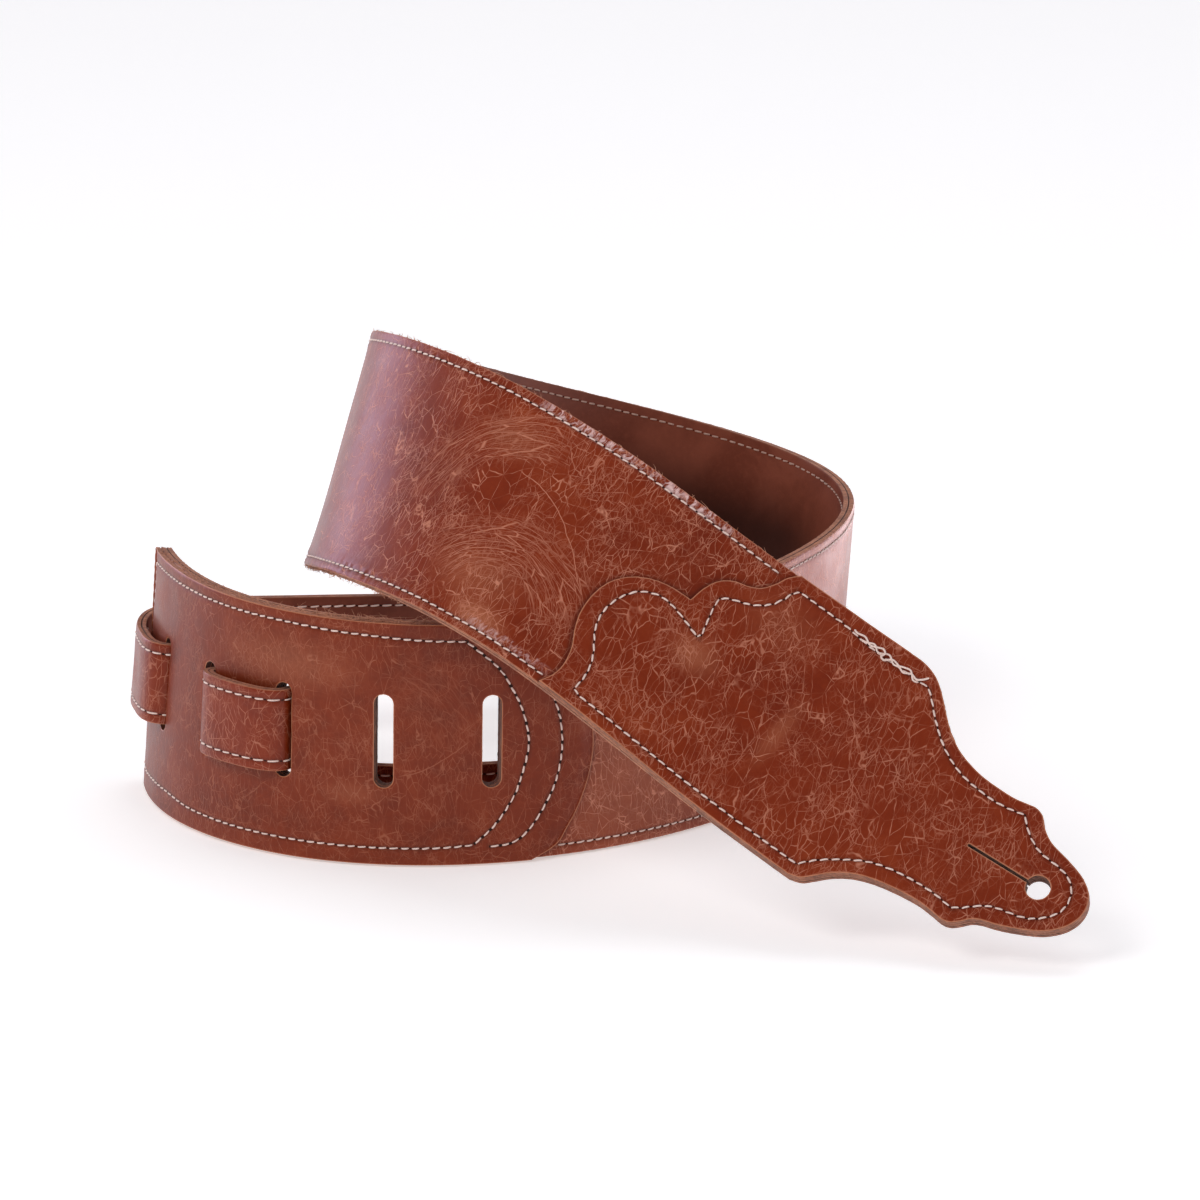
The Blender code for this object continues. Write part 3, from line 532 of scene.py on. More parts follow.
# ---------------------------------------------------------------- flat meshes
def loop_sides(pts, hole):
    """Unit directions that point into the leather at each point of a loop."""
    p = np.array(pts)
    area = 0.5 * np.sum(p[:, 0] * np.roll(p[:, 1], -1) - np.roll(p[:, 0], -1) * p[:, 1])
    t = np.roll(p, -1, axis=0) - np.roll(p, 1, axis=0)
    t /= np.maximum(np.linalg.norm(t, axis=1, keepdims=True), 1e-9)
    n = np.stack([-t[:, 1], t[:, 0]], axis=1)            # left of the way round
    return n if (area > 0) != hole else -n


def in_poly(poly, x, y):
    inside = np.zeros(len(x), bool)
    p = np.array(poly)
    q = np.roll(p, 1, axis=0)
    for (x1, y1), (x2, y2) in zip(p, q):
        if y1 == y2:
            continue
        hit = (y1 > y) != (y2 > y)
        inside ^= hit & (x < (x2 - x1) * (y - y1) / (y2 - y1) + x1)
    return inside


def make_pattern(outline, holes, spacing, cut=None, rows=()):
    """A flat triangle mesh of an outline with holes, finest along its edges."""
    loops = [outline] + list(holes)
    border = np.concatenate([np.array(p, float) for p in loops])
    fine = np.concatenate([resample(list(p), 0.3, True)[0] for p in loops])
    tree = tree_of(fine)
    extra = []
    for k, p in enumerate(loops):
        side = loop_sides(p, k > 0)
        for r in (0.22, 0.60):
            q = np.array(p) + side * r
            d, _ = nearest(tree, q[:, 0], q[:, 1])
            extra.append(q[d > 0.86 * r])
    lo, hi = border.min(0), border.max(0)
    gx = np.arange(lo[0] + 0.4, hi[0], spacing)
    gy = np.arange(lo[1] + 0.4, hi[1], spacing * 0.93)
    X, Y = np.meshgrid(gx, gy, indexing="ij")
    X = X + (np.arange(len(gy)) % 2)[None, :] * spacing / 2
    g = np.stack([X.ravel(), Y.ravel()], axis=1)
    if cut is not None:
        g = g[np.abs(g[:, 0] - cut) > spacing * 0.45]
    ok = in_poly(outline, g[:, 0], g[:, 1])
    for h in holes:
        hp = np.array(h)
        box = ((g[:, 0] > hp[:, 0].min() - 1) & (g[:, 0] < hp[:, 0].max() + 1)
               & (g[:, 1] > hp[:, 1].min() - 1) & (g[:, 1] < hp[:, 1].max() + 1))
        idx = np.where(box)[0]
        ok[idx] &= ~in_poly(h, g[idx, 0], g[idx, 1])
    g = g[ok]
    d, _ = nearest(tree, g[:, 0], g[:, 1])
    g = g[d > 1.05]
    if rows:
        # finer along the seams, so their grooves and puckers are real
        line = np.concatenate([resample(list(p), 0.4, c)[0] for p, c in rows])
        row_tree = tree_of(line)
        dr, _ = nearest(row_tree, g[:, 0], g[:, 1])
        g = g[dr > 1.75]
        for p, c in rows:
            q, _ = resample(list(p), 0.85, c)
            t = np.gradient(q, axis=0)
            t /= np.maximum(np.linalg.norm(t, axis=1, keepdims=True), 1e-9)
            m = np.stack([-t[:, 1], t[:, 0]], axis=1)
            for off in (-1.3, -0.6, 0.0, 0.6, 1.3):
                k = q + m * off
                if abs(off) > 1.0:
                    k = k[::2]
                dk, _ = nearest(tree, k[:, 0], k[:, 1])
                dl, _ = nearest(row_tree, k[:, 0], k[:, 1])
                good = (dk > 0.9) & (dl > abs(off) * 0.8)
                if cut is not None:
                    good &= np.abs(k[:, 0] - cut) > 0.6
                idx = np.where(good)[0]
                idx = idx[in_poly(outline, k[idx, 0], k[idx, 1])]
                extra.append(k[idx])
    extra.append(g)
    verts = [tuple(map(float, p)) for p in border]
    edges, start = [], 0
    for p in loops:
        n = len(p)
        edges += [(start + k, start + (k + 1) % n) for k in range(n)]
        start += n
    nb = len(verts)
    if cut is not None:
        a = int(np.argmin(np.hypot(border[:, 0] - cut, border[:, 1] + H)))
        b = int(np.argmin(np.hypot(border[:, 0] - cut, border[:, 1] - H)))
        line = straight(tuple(border[a]), tuple(border[b]), spacing)[1:-1]
        line = [p for p in line if abs(abs(p[1]) - H) > 1.0]
        chain = [a] + list(range(len(verts), len(verts) + len(line))) + [b]
        verts += line
        edges += list(zip(chain, chain[1:]))
    verts += [tuple(map(float, p)) for q in extra for p in q]
    flat, _, faces, orig, *_ = delaunay_2d_cdt(verts, edges, [], 0, 0.02)
    flat = np.array([(v[0], v[1]) for v in flat])
    rim = np.array([any(k < nb for k in o) for o in orig])
    f = np.array(faces)
    c = flat[f].mean(1)
    all_rim = rim[f].all(1)
    keep = ~all_rim
    idx = np.where(all_rim)[0]
    good = in_poly(outline, c[idx, 0], c[idx, 1])
    for h in holes:
        good &= ~in_poly(h, c[idx, 0], c[idx, 1])
    keep[idx] = good
    f, c = f[keep], c[keep]
    a, b, d3 = flat[f[:, 0]], flat[f[:, 1]], flat[f[:, 2]]
    area = (b[:, 0] - a[:, 0]) * (d3[:, 1] - a[:, 1]) - (b[:, 1] - a[:, 1]) * (d3[:, 0] - a[:, 0])
    f[area < 0] = f[area < 0][:, ::-1]
    inner = tree_of(np.concatenate([resample(list(p), 0.3, True)[0] for p in holes])) if holes else None
    return {"flat": flat, "faces": f, "mid": c, "tree": tree, "hole_tree": inner}


def mesh_from(name, co, faces, mats, uv, attrs, slots):
    me = bpy.data.meshes.new(name)
    nf = len(faces)
    me.vertices.add(len(co))
    me.vertices.foreach_set("co", np.asarray(co, np.float32).ravel())
    sizes = np.array([len(f) for f in faces], np.int32)
    me.loops.add(int(sizes.sum()))
    flat = np.concatenate([np.asarray(f, np.int32) for f in faces]) if nf else np.zeros(0, np.int32)
    me.loops.foreach_set("vertex_index", flat)
    me.polygons.add(nf)
    me.polygons.foreach_set("loop_start", np.concatenate([[0], np.cumsum(sizes)[:-1]]).astype(np.int32))
    me.polygons.foreach_set("material_index", np.asarray(mats, np.int32))
    me.update(calc_edges=True)
    me.validate()
    layer = me.uv_layers.new(name="flat")
    vi = np.zeros(len(me.loops), np.int32)
    me.loops.foreach_get("vertex_index", vi)
    layer.data.foreach_set("uv", np.asarray(uv, np.float32)[vi].ravel())
    for key, values in attrs.items():
        a = me.attributes.new(key, "FLOAT", "POINT")
        a.data.foreach_set("value", np.asarray(values, np.float32))
    me.shade_smooth()
    me.set_sharp_from_angle(angle=math.radians(38))
    ob = bpy.data.objects.new(name, me)
    bpy.context.scene.collection.objects.link(ob)
    for m in slots:
        me.materials.append(m)
    return ob


def leather_piece(name, pattern, point, lo, hi, kind, slots, u0=-1e9, u1=1e9, under="plain", fray=0.10,
                  beside=None):
    """One closed leather sheet cut from a pattern, between u0 and u1. slots are
    the finishes of its grain side, its cut edge and its flesh side; a fourth,
    if given, is painted shade on the walls of its holes."""
    f = pattern["faces"][(pattern["mid"][:, 0] > u0) & (pattern["mid"][:, 0] < u1)]
    used, inv = np.unique(f, return_inverse=True)
    f = inv.reshape(f.shape)
    flat = pattern["flat"][used]
    u, w = flat[:, 0], flat[:, 1]
    n = len(u)
    d_edge, _ = nearest(pattern["tree"], u, w)
    roll = 0.62
    e = np.clip(d_edge / roll, 0, 1)
    rolled = roll * (1 - np.sqrt(np.clip(1 - (1 - e) ** 2, 0, 1)))
    if kind:
        rel, d_row = grain_relief(kind, u, w)
        rel = rel * np.clip(d_edge / 0.6, 0.25, 1)
        top = hi + rel - rolled * 0.55
    else:
        top, d_row = np.full(n, hi), np.full(n, 9.0)
    soft = 0.42
    e2 = np.clip(d_edge / soft, 0, 1)
    bot = lo + soft * 0.55 * (1 - np.sqrt(np.clip(1 - (1 - e2) ** 2, 0, 1)))
    if not kind:
        top = top - soft * 0.4 * (1 - np.sqrt(np.clip(1 - (1 - e2) ** 2, 0, 1)))
    if under == "lining":
        bot = bot - 0.06 * wander(u + 31, w, 24.0) * np.clip(d_edge / 2, 0, 1)
    # cut edges: pairs of the mesh that have one face only
    pairs = np.concatenate([f[:, [0, 1]], f[:, [1, 2]], f[:, [2, 0]]])
    key = pairs[:, 0].astype(np.int64) * n + pairs[:, 1]
    back = pairs[:, 1].astype(np.int64) * n + pairs[:, 0]
    rim = pairs[~np.isin(key, back)]
    rim_v = np.unique(rim)
    where = np.full(n, -1)
    where[rim_v] = np.arange(len(rim_v))
    out_dir = np.zeros((n, 2))
    for a, b in rim:
        t = flat[b] - flat[a]
        t = t / max(np.linalg.norm(t), 1e-9)
        out_dir[a] += (t[1], -t[0])
        out_dir[b] += (t[1], -t[0])
    out_dir /= np.maximum(np.linalg.norm(out_dir, axis=1, keepdims=True), 1e-9)
    seam = np.abs(u[rim_v] - u0) < 1e-3 if u0 > -1e8 else np.zeros(len(rim_v), bool)
    seam |= np.abs(u[rim_v] - u1) < 1e-3 if u1 < 1e8 else False
    levels = []
    for k, (fr, swell) in enumerate(((0.72, 0.6), (0.40, 1.0), (0.12, 0.5))):
        rough = fray * swell * (RNG.normal(0, 0.8, len(rim_v)) + 0.3)
        rough[seam] = 0.0
        uu = u[rim_v] + out_dir[rim_v, 0] * rough
        ww = w[rim_v] + out_dir[rim_v, 1] * rough
        oo = bot[rim_v] + (top[rim_v] - bot[rim_v]) * fr
        levels.append((uu, ww, oo))
    U = np.concatenate([u, u] + [x[0] for x in levels])
    W = np.concatenate([w, w] + [x[1] for x in levels])
    O = np.concatenate([top, bot] + [x[2] for x in levels])
    co = point(U, W, O)
    uv = np.stack([U, W + O * 0.5], axis=1) * 0.01
    nr = len(rim_v)
    chain = [lambda v: v, lambda v: 2 * n + where[v], lambda v: 2 * n + nr + where[v],
             lambda v: 2 * n + 2 * nr + where[v], lambda v: n + v]
    faces = [f, f[:, ::-1] + n]
    mats = [np.zeros(len(f), int), np.full(len(f), 2)]
    quads = []
    for a, b in zip(chain, chain[1:]):
        quads.append(np.stack([a(rim[:, 1]), a(rim[:, 0]), b(rim[:, 0]), b(rim[:, 1])], axis=1))
    quads = np.concatenate(quads)
    all_faces = [x for x in faces[0]] + [x for x in faces[1]] + [x for x in quads]
    inner = pattern["hole_tree"]
    wall = np.ones(len(rim), int)
    # the walls of the holes take the fourth finish, a darker cut edge that paints their shade
    if inner is not None and len(slots) > 3:
        mid = (flat[rim[:, 0]] + flat[rim[:, 1]]) / 2
        dh, _ = nearest(inner, mid[:, 0], mid[:, 1])
        wall[dh < 0.6] = 3
    all_mats = np.concatenate([mats[0], mats[1], np.tile(wall, 4)])
    # distance to the edges of the parts sewn on top, for a painted shadow beside them
    if beside is not None:
        d_overlay_shadow, _ = nearest(beside, u, w)
    else:
        d_overlay_shadow = np.full(n, 9.0)
    attrs = {"edge": np.concatenate([d_edge, d_edge] + [np.zeros(nr)] * 3),
             "row": np.concatenate([d_row, np.full(n, 9.0)] + [np.full(nr, 9.0)] * 3),
             "lay": np.concatenate([np.ones(2 * n), np.zeros(3 * nr)]),
             "beside": np.concatenate([d_overlay_shadow, np.full(n, 9.0)] + [np.full(nr, 9.0)] * 3)}
    return mesh_from(name, co, all_faces, all_mats, uv, attrs, slots)


# ------------------------------------------------------------------- stitches
def stitch_row(path, pitch, closed, point, height, side, relief=None, size=0.285, lift=0.22, jitter=0.07,
               slant=0.14, show=(0.08, 0.92), loose=0.0, hole=1.0):
    """Thread segments and needle holes of one seam, as lists of points and faces.
    height is the leather's surface, side +1 on the grain and -1 on the lining."""
    holes, at = resample(path, pitch, closed, jitter)
    n = len(holes) - 1
    sides, rings = 6, 8
    t = np.linspace(show[0], show[1], rings)
    rise = np.sin(np.linspace(0, math.pi, rings)) ** 0.55
    co, faces, tone, hco, hfaces = [], [], [], [], []
    cu, cw, cr, cside = [], [], [], []
    for k in range(n):
        a, b = holes[k], holes[k + 1]
        d = b - a
        L = np.linalg.norm(d)
        if L < 0.5:
            continue
        d /= L
        q = np.array([-d[1], d[0]])
        sl = slant * side + RNG.normal(0, 0.05)
        lump = RNG.normal(0, 0.06)
        cen = a[None, :] + d[None, :] * (t * L)[:, None] + q[None, :] * ((t - 0.5) * 2 * sl)[:, None]
        cu.append(cen)
        cw.append(np.stack([np.full(rings, q[0]), np.full(rings, q[1])], axis=1))
        cr.append(-0.30 + (lift + 0.30 + lump * 0.5 + loose * RNG.random()) * rise)
        taper = 0.62 + 0.38 * rise
        cside.append(size * (1 + RNG.normal(0, 0.06)) * taper)
        tone.append(np.full(rings, RNG.random()))
    m = len(cu)
    C = np.concatenate(cu)
    Q = np.concatenate(cw)
    O = np.concatenate(cr)
    R = np.concatenate(cside)
    T = np.concatenate(tone)
    rel = relief(C[:, 0], C[:, 1]) if relief is not None else 0.0
    pts = []
    for j in range(sides):
        ang = 2 * math.pi * j / sides
        pts.append(point(C[:, 0] + Q[:, 0] * R * math.cos(ang), C[:, 1] + Q[:, 1] * R * math.cos(ang),
                         side * (height + rel + O + 0.72 * R * math.sin(ang))))
    pts = np.stack(pts, axis=1)                       # (m*rings, sides, 3)
    co = pts.reshape(-1, 3)
    faces = []
    for k in range(m):
        base = k * rings * sides
        for r in range(rings - 1):
            for j in range(sides):
                j2 = (j + 1) % sides
                quad = (base + r * sides + j, base + r * sides + j2, base + (r + 1) * sides + j2, base + (r + 1) * sides + j)
                faces.append(quad if side > 0 else quad[::-1])
        c0 = tuple(base + j for j in range(sides))
        c1 = tuple(base + (rings - 1) * sides + j for j in range(sides))
        faces.append(c0[::-1] if side > 0 else c0)
        faces.append(c1 if side > 0 else c1[::-1])
    seg = np.repeat(T, sides)
    along = np.tile(np.repeat(t, sides), m)
    uvx = np.repeat(C[:, 0] + C[:, 1], sides) * 0.01
    uv = np.stack([along * pitch * 0.01 + uvx * 0, np.tile(np.arange(sides) / sides * 0.02, m * rings)], axis=1)
    # needle holes: near-black discs on the surface, painted shade inside each hole
    hs = holes if not closed else holes[:-1]
    hn = 10
    hu, hw, ho = [], [], []
    hf = []
    for k, h in enumerate(hs):
        a = holes[max(k - 1, 0)]
        b = holes[min(k + 1, len(holes) - 1)]
        d = unit(b - a) if np.linalg.norm(b - a) > 1e-6 else np.array([1.0, 0.0])
        q = np.array([-d[1], d[0]])
        base = len(hu)
        ru, rw = 0.52 * hole * (1 + RNG.normal(0, 0.12)), 0.36 * hole * (1 + RNG.normal(0, 0.12))
        for j in range(hn):
            g = 2 * math.pi * j / hn
            p = h + d * ru * math.cos(g) + q * rw * math.sin(g)
            hu.append(p[0]); hw.append(p[1]); ho.append(-0.20)
        for j in range(hn):
            g = 2 * math.pi * j / hn
            p = h + d * ru * 0.72 * math.cos(g) + q * rw * 0.72 * math.sin(g)
            hu.append(p[0]); hw.append(p[1]); ho.append(0.03)
        for j in range(hn):
            j2 = (j + 1) % hn
            quad = (base + j, base + j2, base + hn + j2, base + hn + j)
            hf.append(quad if side > 0 else quad[::-1])
        cap = tuple(base + hn + j for j in range(hn))
        low = tuple(base + j for j in range(hn))
        hf.append(cap if side > 0 else cap[::-1])
        hf.append(low[::-1] if side > 0 else low)
    hu, hw, ho = np.array(hu), np.array(hw), np.array(ho)
    hrel = relief(hu, hw) if relief is not None else 0.0
    hco = point(hu, hw, side * (height + hrel + ho))
    return (co, faces, seg, uv), (hco, hf, np.stack([hu, hw], axis=1) * 0.01)


def merge_rows(name, parts, material):
    co, faces, seg, uv, base = [], [], [], [], 0
    for c, f, s, q in parts:
        co.append(c)
        faces += [tuple(i + base for i in face) for face in f]
        seg.append(s)
        uv.append(q)
        base += len(c)
    co = np.concatenate(co)
    return mesh_from(name, co, faces, np.zeros(len(faces), int), np.concatenate(uv), {"tone": np.concatenate(seg)}, [material])


# ------------------------------------------------------------------- finishes
def nodes_of(name):
    m = bpy.data.materials.new(name)
    m.use_nodes = True
    nt = m.node_tree
    bsdf = nt.nodes.get("Principled BSDF")
    if bsdf is None:
        nt.nodes.clear()
        out = nt.nodes.new("ShaderNodeOutputMaterial")
        bsdf = nt.nodes.new("ShaderNodeBsdfPrincipled")
        nt.links.new(bsdf.outputs[0], out.inputs[0])
    return m, nt, bsdf


class Net:
    """Short names for the shader nodes used below."""

    def __init__(self, nt):
        self.nt = nt

    def new(self, kind, **props):
        n = self.nt.nodes.new(kind)
        for k, v in props.items():
            setattr(n, k, v)
        return n

    def put(self, socket, value):
        if hasattr(value, "is_output") or isinstance(value, bpy.types.NodeSocket):
            self.nt.links.new(value, socket)
        else:
            socket.default_value = value

    def uv(self, su=1.0, sw=1.0, du=0.0, dw=0.0, angle=0.0):
        if not hasattr(self, "_uv"):
            self._uv = self.new("ShaderNodeUVMap", uv_map="flat").outputs[0]
        mp = self.new("ShaderNodeMapping")
        self.nt.links.new(self._uv, mp.inputs["Vector"])
        mp.inputs["Location"].default_value = (du, dw, 0)
        mp.inputs["Rotation"].default_value = (0, 0, angle)
        mp.inputs["Scale"].default_value = (su, sw, 1)
        return mp.outputs[0]

    def noise(self, vec, scale, detail=3.0, rough=0.5, distort=0.0, colour=False):
        n = self.new("ShaderNodeTexNoise")
        self.put(n.inputs["Vector"], vec)
        n.inputs["Scale"].default_value = scale
        n.inputs["Detail"].default_value = detail
        n.inputs["Roughness"].default_value = rough
        n.inputs["Distortion"].default_value = distort
        return n.outputs["Color" if colour else "Fac"]

    def cells(self, vec, scale, feature="DISTANCE_TO_EDGE", rand=1.0):
        n = self.new("ShaderNodeTexVoronoi", feature=feature)
        self.put(n.inputs["Vector"], vec)
        n.inputs["Scale"].default_value = scale
        n.inputs["Randomness"].default_value = rand
        return n.outputs["Distance"]

    def math(self, op, a, b=0.0, c=0.0, clamp=False):
        n = self.new("ShaderNodeMath", operation=op, use_clamp=clamp)
        self.put(n.inputs[0], a)
        self.put(n.inputs[1], b)
        if op in ("MULTIPLY_ADD", "SMOOTH_MIN"):
            self.put(n.inputs[2], c)
        return n.outputs[0]

    def vmath(self, op, a, b):
        n = self.new("ShaderNodeVectorMath", operation=op)
        self.put(n.inputs[0], a)
        if op == "SCALE":
            n.inputs["Scale"].default_value = b
        else:
            self.put(n.inputs[1], b)
        return n.outputs[0]

    def span(self, value, lo, hi, a=0.0, b=1.0, steps=True):
        n = self.new("ShaderNodeMapRange", interpolation_type="SMOOTHSTEP" if steps else "LINEAR")
        self.put(n.inputs["Value"], value)
        n.inputs["From Min"].default_value = lo
        n.inputs["From Max"].default_value = hi
        n.inputs["To Min"].default_value = a
        n.inputs["To Max"].default_value = b
        return n.outputs["Result"]

    def mix(self, fac, a, b, mode="MIX"):
        n = self.new("ShaderNodeMix", data_type="RGBA", blend_type=mode)
        self.put(n.inputs[0], fac)
        for s, v in ((n.inputs[6], a), (n.inputs[7], b)):
            if isinstance(v, tuple):
                s.default_value = (*v, 1) if len(v) == 3 else v
            else:
                self.put(s, v)
        return n.outputs[2]

    def attr(self, name):
        return self.new("ShaderNodeAttribute", attribute_name=name, attribute_type="GEOMETRY").outputs["Fac"]

    def bump(self, height, strength, distance, normal=None):
        n = self.new("ShaderNodeBump")
        n.inputs["Strength"].default_value = strength
        n.inputs["Distance"].default_value = distance
        self.put(n.inputs["Height"], height)
        if normal is not None:
            self.put(n.inputs["Normal"], normal)
        return n.outputs[0]


def lines(net, vec, scale, thin, fade):
    """A net of thin cracks: 1 on a line, 0 off it."""
    return net.span(net.cells(vec, scale), thin, fade, 1.0, 0.0)


def grain_leather(name, seed, dark, mid, light, vein, crackle=1.0, shine=0.36, tilt=0.0, coarse=1.0,
                  fans=(), pale_patches_and_highlights=(), scratches=(), rim_highlights=(), wear=0.38, spec=0.22):
    m, nt, bsdf = nodes_of(name)
    net = Net(nt)
    raw = net.uv()
    plain = net.uv(du=seed * 3.1, dw=seed * 1.7)
    half = (0.5, 0.5, 0.5)
    bend = net.vmath("SUBTRACT", net.noise(plain, 5.0, 1.0, 0.5, colour=True), half)
    wob = net.vmath("SUBTRACT", net.noise(plain, 34.0, 1.5, 0.5, colour=True), half)
    wob = net.vmath("SCALE", wob, 0.0085)
    soft = net.vmath("ADD", net.vmath("ADD", plain, net.vmath("SCALE", bend, 0.035)), wob)
    # coordinates stretched along the creases, which run across the strap
    lean = net.new("ShaderNodeMapping")
    nt.links.new(soft, lean.inputs["Vector"])
    lean.inputs["Rotation"].default_value = (0, 0, tilt)
    squash = net.new("ShaderNodeMapping")
    nt.links.new(lean.outputs[0], squash.inputs["Vector"])
    squash.inputs["Scale"].default_value = (1.0, 0.36, 1.0)
    across = squash.outputs[0]
    # mottling
    cloud = net.noise(plain, 2.4, 3.0, 0.55, 0.4)
    patch = net.noise(soft, 10.0, 4.0, 0.6, 0.3)
    speck = net.noise(plain, 70.0, 3.0, 0.6)
    fac = net.math("MULTIPLY_ADD", patch, 0.5, net.math("MULTIPLY", cloud, 0.5))
    body = net.mix(net.span(fac, 0.30, 0.56), dark, mid)
    body = net.mix(net.span(fac, 0.52, 0.74), body, light)
    body = net.mix(net.math("MULTIPLY", net.span(speck, 0.42, 0.70), 0.16), body, light)
    # veins
    v1 = lines(net, soft, 14.0 / coarse, 0.002, 0.017)
    v2 = lines(net, net.vmath("ADD", soft, (0.37, 0.11, 0.0)), 34.0 / coarse, 0.004, 0.034)
    v3 = lines(net, across, 22.0 / coarse, 0.002, 0.020)
    v4 = lines(net, net.vmath("ADD", across, (0.71, 0.23, 0.0)), 46.0 / coarse, 0.004, 0.036)
    v5 = lines(net, net.vmath("ADD", across, (0.13, 0.53, 0.0)), 82.0 / coarse, 0.008, 0.060)
    mask_a = net.span(net.noise(net.vmath("ADD", plain, (1.7, 0.3, 0.0)), 4.0, 2.0, 0.6), 0.42, 0.58)
    mask_b = net.span(net.noise(net.vmath("ADD", plain, (0.2, 2.3, 0.0)), 6.5, 2.0, 0.6), 0.42, 0.60)
    mask_c = net.span(net.noise(net.vmath("ADD", plain, (3.2, 1.3, 0.0)), 20.0, 2.0, 0.6), 0.40, 0.58)
    w1 = net.math("MULTIPLY", v1, net.math("MULTIPLY_ADD", mask_c, 0.8, 0.1))
    w2 = net.math("MULTIPLY", net.math("MULTIPLY", v2, mask_b), 0.50)
    w3 = net.math("MULTIPLY", v3, net.math("MULTIPLY_ADD", mask_c, 0.75, 0.2))
    w4 = net.math("MULTIPLY", net.math("MULTIPLY", v4, mask_a), 0.75)
    w5 = net.math("MULTIPLY", net.math("MULTIPLY", v5, mask_c), net.math("MULTIPLY", mask_b, 0.35))
    veins = net.math("MAXIMUM", net.math("MAXIMUM", w1, w2), net.math("MAXIMUM", w3, w4))
    veins = net.math("MAXIMUM", veins, w5)
    # fans of curved hairlines about a centre (strap coordinates, mm and degrees)
    sep = net.new("ShaderNodeSeparateXYZ")
    nt.links.new(net.vmath("ADD", raw, net.vmath("ADD", wob, net.vmath("SCALE", bend, 0.03))), sep.inputs[0])
    px, pw = sep.outputs[0], sep.outputs[1]
    for cu, cw, r0, r1, a0, a1, force in fans:
        dx, dw = net.math("SUBTRACT", px, cu * 0.01), net.math("SUBTRACT", pw, cw * 0.01)
        r = net.math("SQRT", net.math("ADD", net.math("MULTIPLY", dx, dx), net.math("MULTIPLY", dw, dw)))
        ang = net.math("ARCTAN2", dw, dx)
        comb = net.new("ShaderNodeCombineXYZ")
        nt.links.new(net.math("MULTIPLY_ADD", net.math("SINE", net.math("MULTIPLY", ang, 2.3)), 0.012, r), comb.inputs[0])
        nt.links.new(net.math("MULTIPLY", ang, 0.038), comb.inputs[1])
        a = lines(net, comb.outputs[0], 48.0, 0.004, 0.036)
        b = lines(net, net.vmath("ADD", comb.outputs[0], (0.3, 0.1, 0.0)), 90.0, 0.008, 0.065)
        both = net.math("MAXIMUM", a, net.math("MULTIPLY", b, 0.5))
        ring = net.math("MULTIPLY", net.span(r, (r0 - 3) * 0.01, (r0 + 1) * 0.01), net.span(r, (r1 - 2) * 0.01, (r1 + 5) * 0.01, 1.0, 0.0))
        part = net.math("MULTIPLY", net.span(ang, math.radians(a0 - 12), math.radians(a0 + 12)),
                        net.span(ang, math.radians(a1 - 12), math.radians(a1 + 12), 1.0, 0.0))
        here = net.math("MULTIPLY", net.math("MULTIPLY", ring, part), force)
        veins = net.math("MAXIMUM", net.math("MULTIPLY", veins, net.math("SUBTRACT", 1.0, net.math("MULTIPLY", here, 0.6))),
                         net.math("MULTIPLY", both, here))
        body = net.mix(net.math("MULTIPLY", here, 0.12), body, light)
    for cu, cw, rr, a0, a1, wide in scratches:
        dx, dw = net.math("SUBTRACT", px, cu * 0.01), net.math("SUBTRACT", pw, cw * 0.01)
        r = net.math("SQRT", net.math("ADD", net.math("MULTIPLY", dx, dx), net.math("MULTIPLY", dw, dw)))
        ang = net.math("ARCTAN2", dw, dx)
        part = net.math("MULTIPLY", net.span(ang, math.radians(a0), math.radians(a0 + 3)),
                        net.span(ang, math.radians(a1 - 3), math.radians(a1), 1.0, 0.0))
        line = net.span(net.math("ABSOLUTE", net.math("SUBTRACT", r, rr * 0.01)), 0.0, wide * 0.01, 1.0, 0.0)
        veins = net.math("MAXIMUM", veins, net.math("MULTIPLY", line, part))
    veins = net.math("MULTIPLY", veins, crackle, clamp=True)
    # pale patches of lighter leather; on the strap the one at u 757, w -31 is a painted highlight
    for cu, cw, su, sw, force in pale_patches_and_highlights:
        mp = net.new("ShaderNodeMapping")
        nt.links.new(raw, mp.inputs["Vector"])
        mp.inputs["Location"].default_value = (-cu / su, -cw / sw, 0)
        mp.inputs["Scale"].default_value = (100.0 / su, 100.0 / sw, 1)
        ln = net.new("ShaderNodeVectorMath", operation="LENGTH")
        nt.links.new(mp.outputs[0], ln.inputs[0])
        g = net.math("MULTIPLY", net.span(ln.outputs["Value"], 0.0, 1.0, force, 0.0), net.math("ADD", 0.6, speck))
        body = net.mix(g, body, (0.50, 0.17, 0.085))
    body = net.mix(net.math("MULTIPLY", veins, 0.70), body, vein)
    # painted highlight: pale crinkled ridges across a rim
    for ua, ub, wa, wb, force in rim_highlights:
        sp2 = net.new("ShaderNodeSeparateXYZ")
        nt.links.new(raw, sp2.inputs[0])
        mu = net.math("MULTIPLY", net.span(sp2.outputs[0], ua * 0.01, (ua + 14) * 0.01), net.span(sp2.outputs[0], (ub - 14) * 0.01, ub * 0.01, 1.0, 0.0))
        mw = net.math("MULTIPLY", net.span(sp2.outputs[1], (wa - 0.4) * 0.01, (wa + 0.3) * 0.01), net.span(sp2.outputs[1], (wb - 0.3) * 0.01, (wb + 0.6) * 0.01, 1.0, 0.0))
        st = net.new("ShaderNodeMapping")
        nt.links.new(soft, st.inputs["Vector"])
        st.inputs["Scale"].default_value = (1.0, 0.45, 1.0)
        ridge = net.span(net.noise(st.outputs[0], 62.0, 3.0, 0.65, 0.6), 0.44, 0.66)
        body = net.mix(net.math("MULTIPLY", net.math("MULTIPLY", mu, mw), net.math("MULTIPLY", ridge, force)), body, (0.86, 0.60, 0.58))
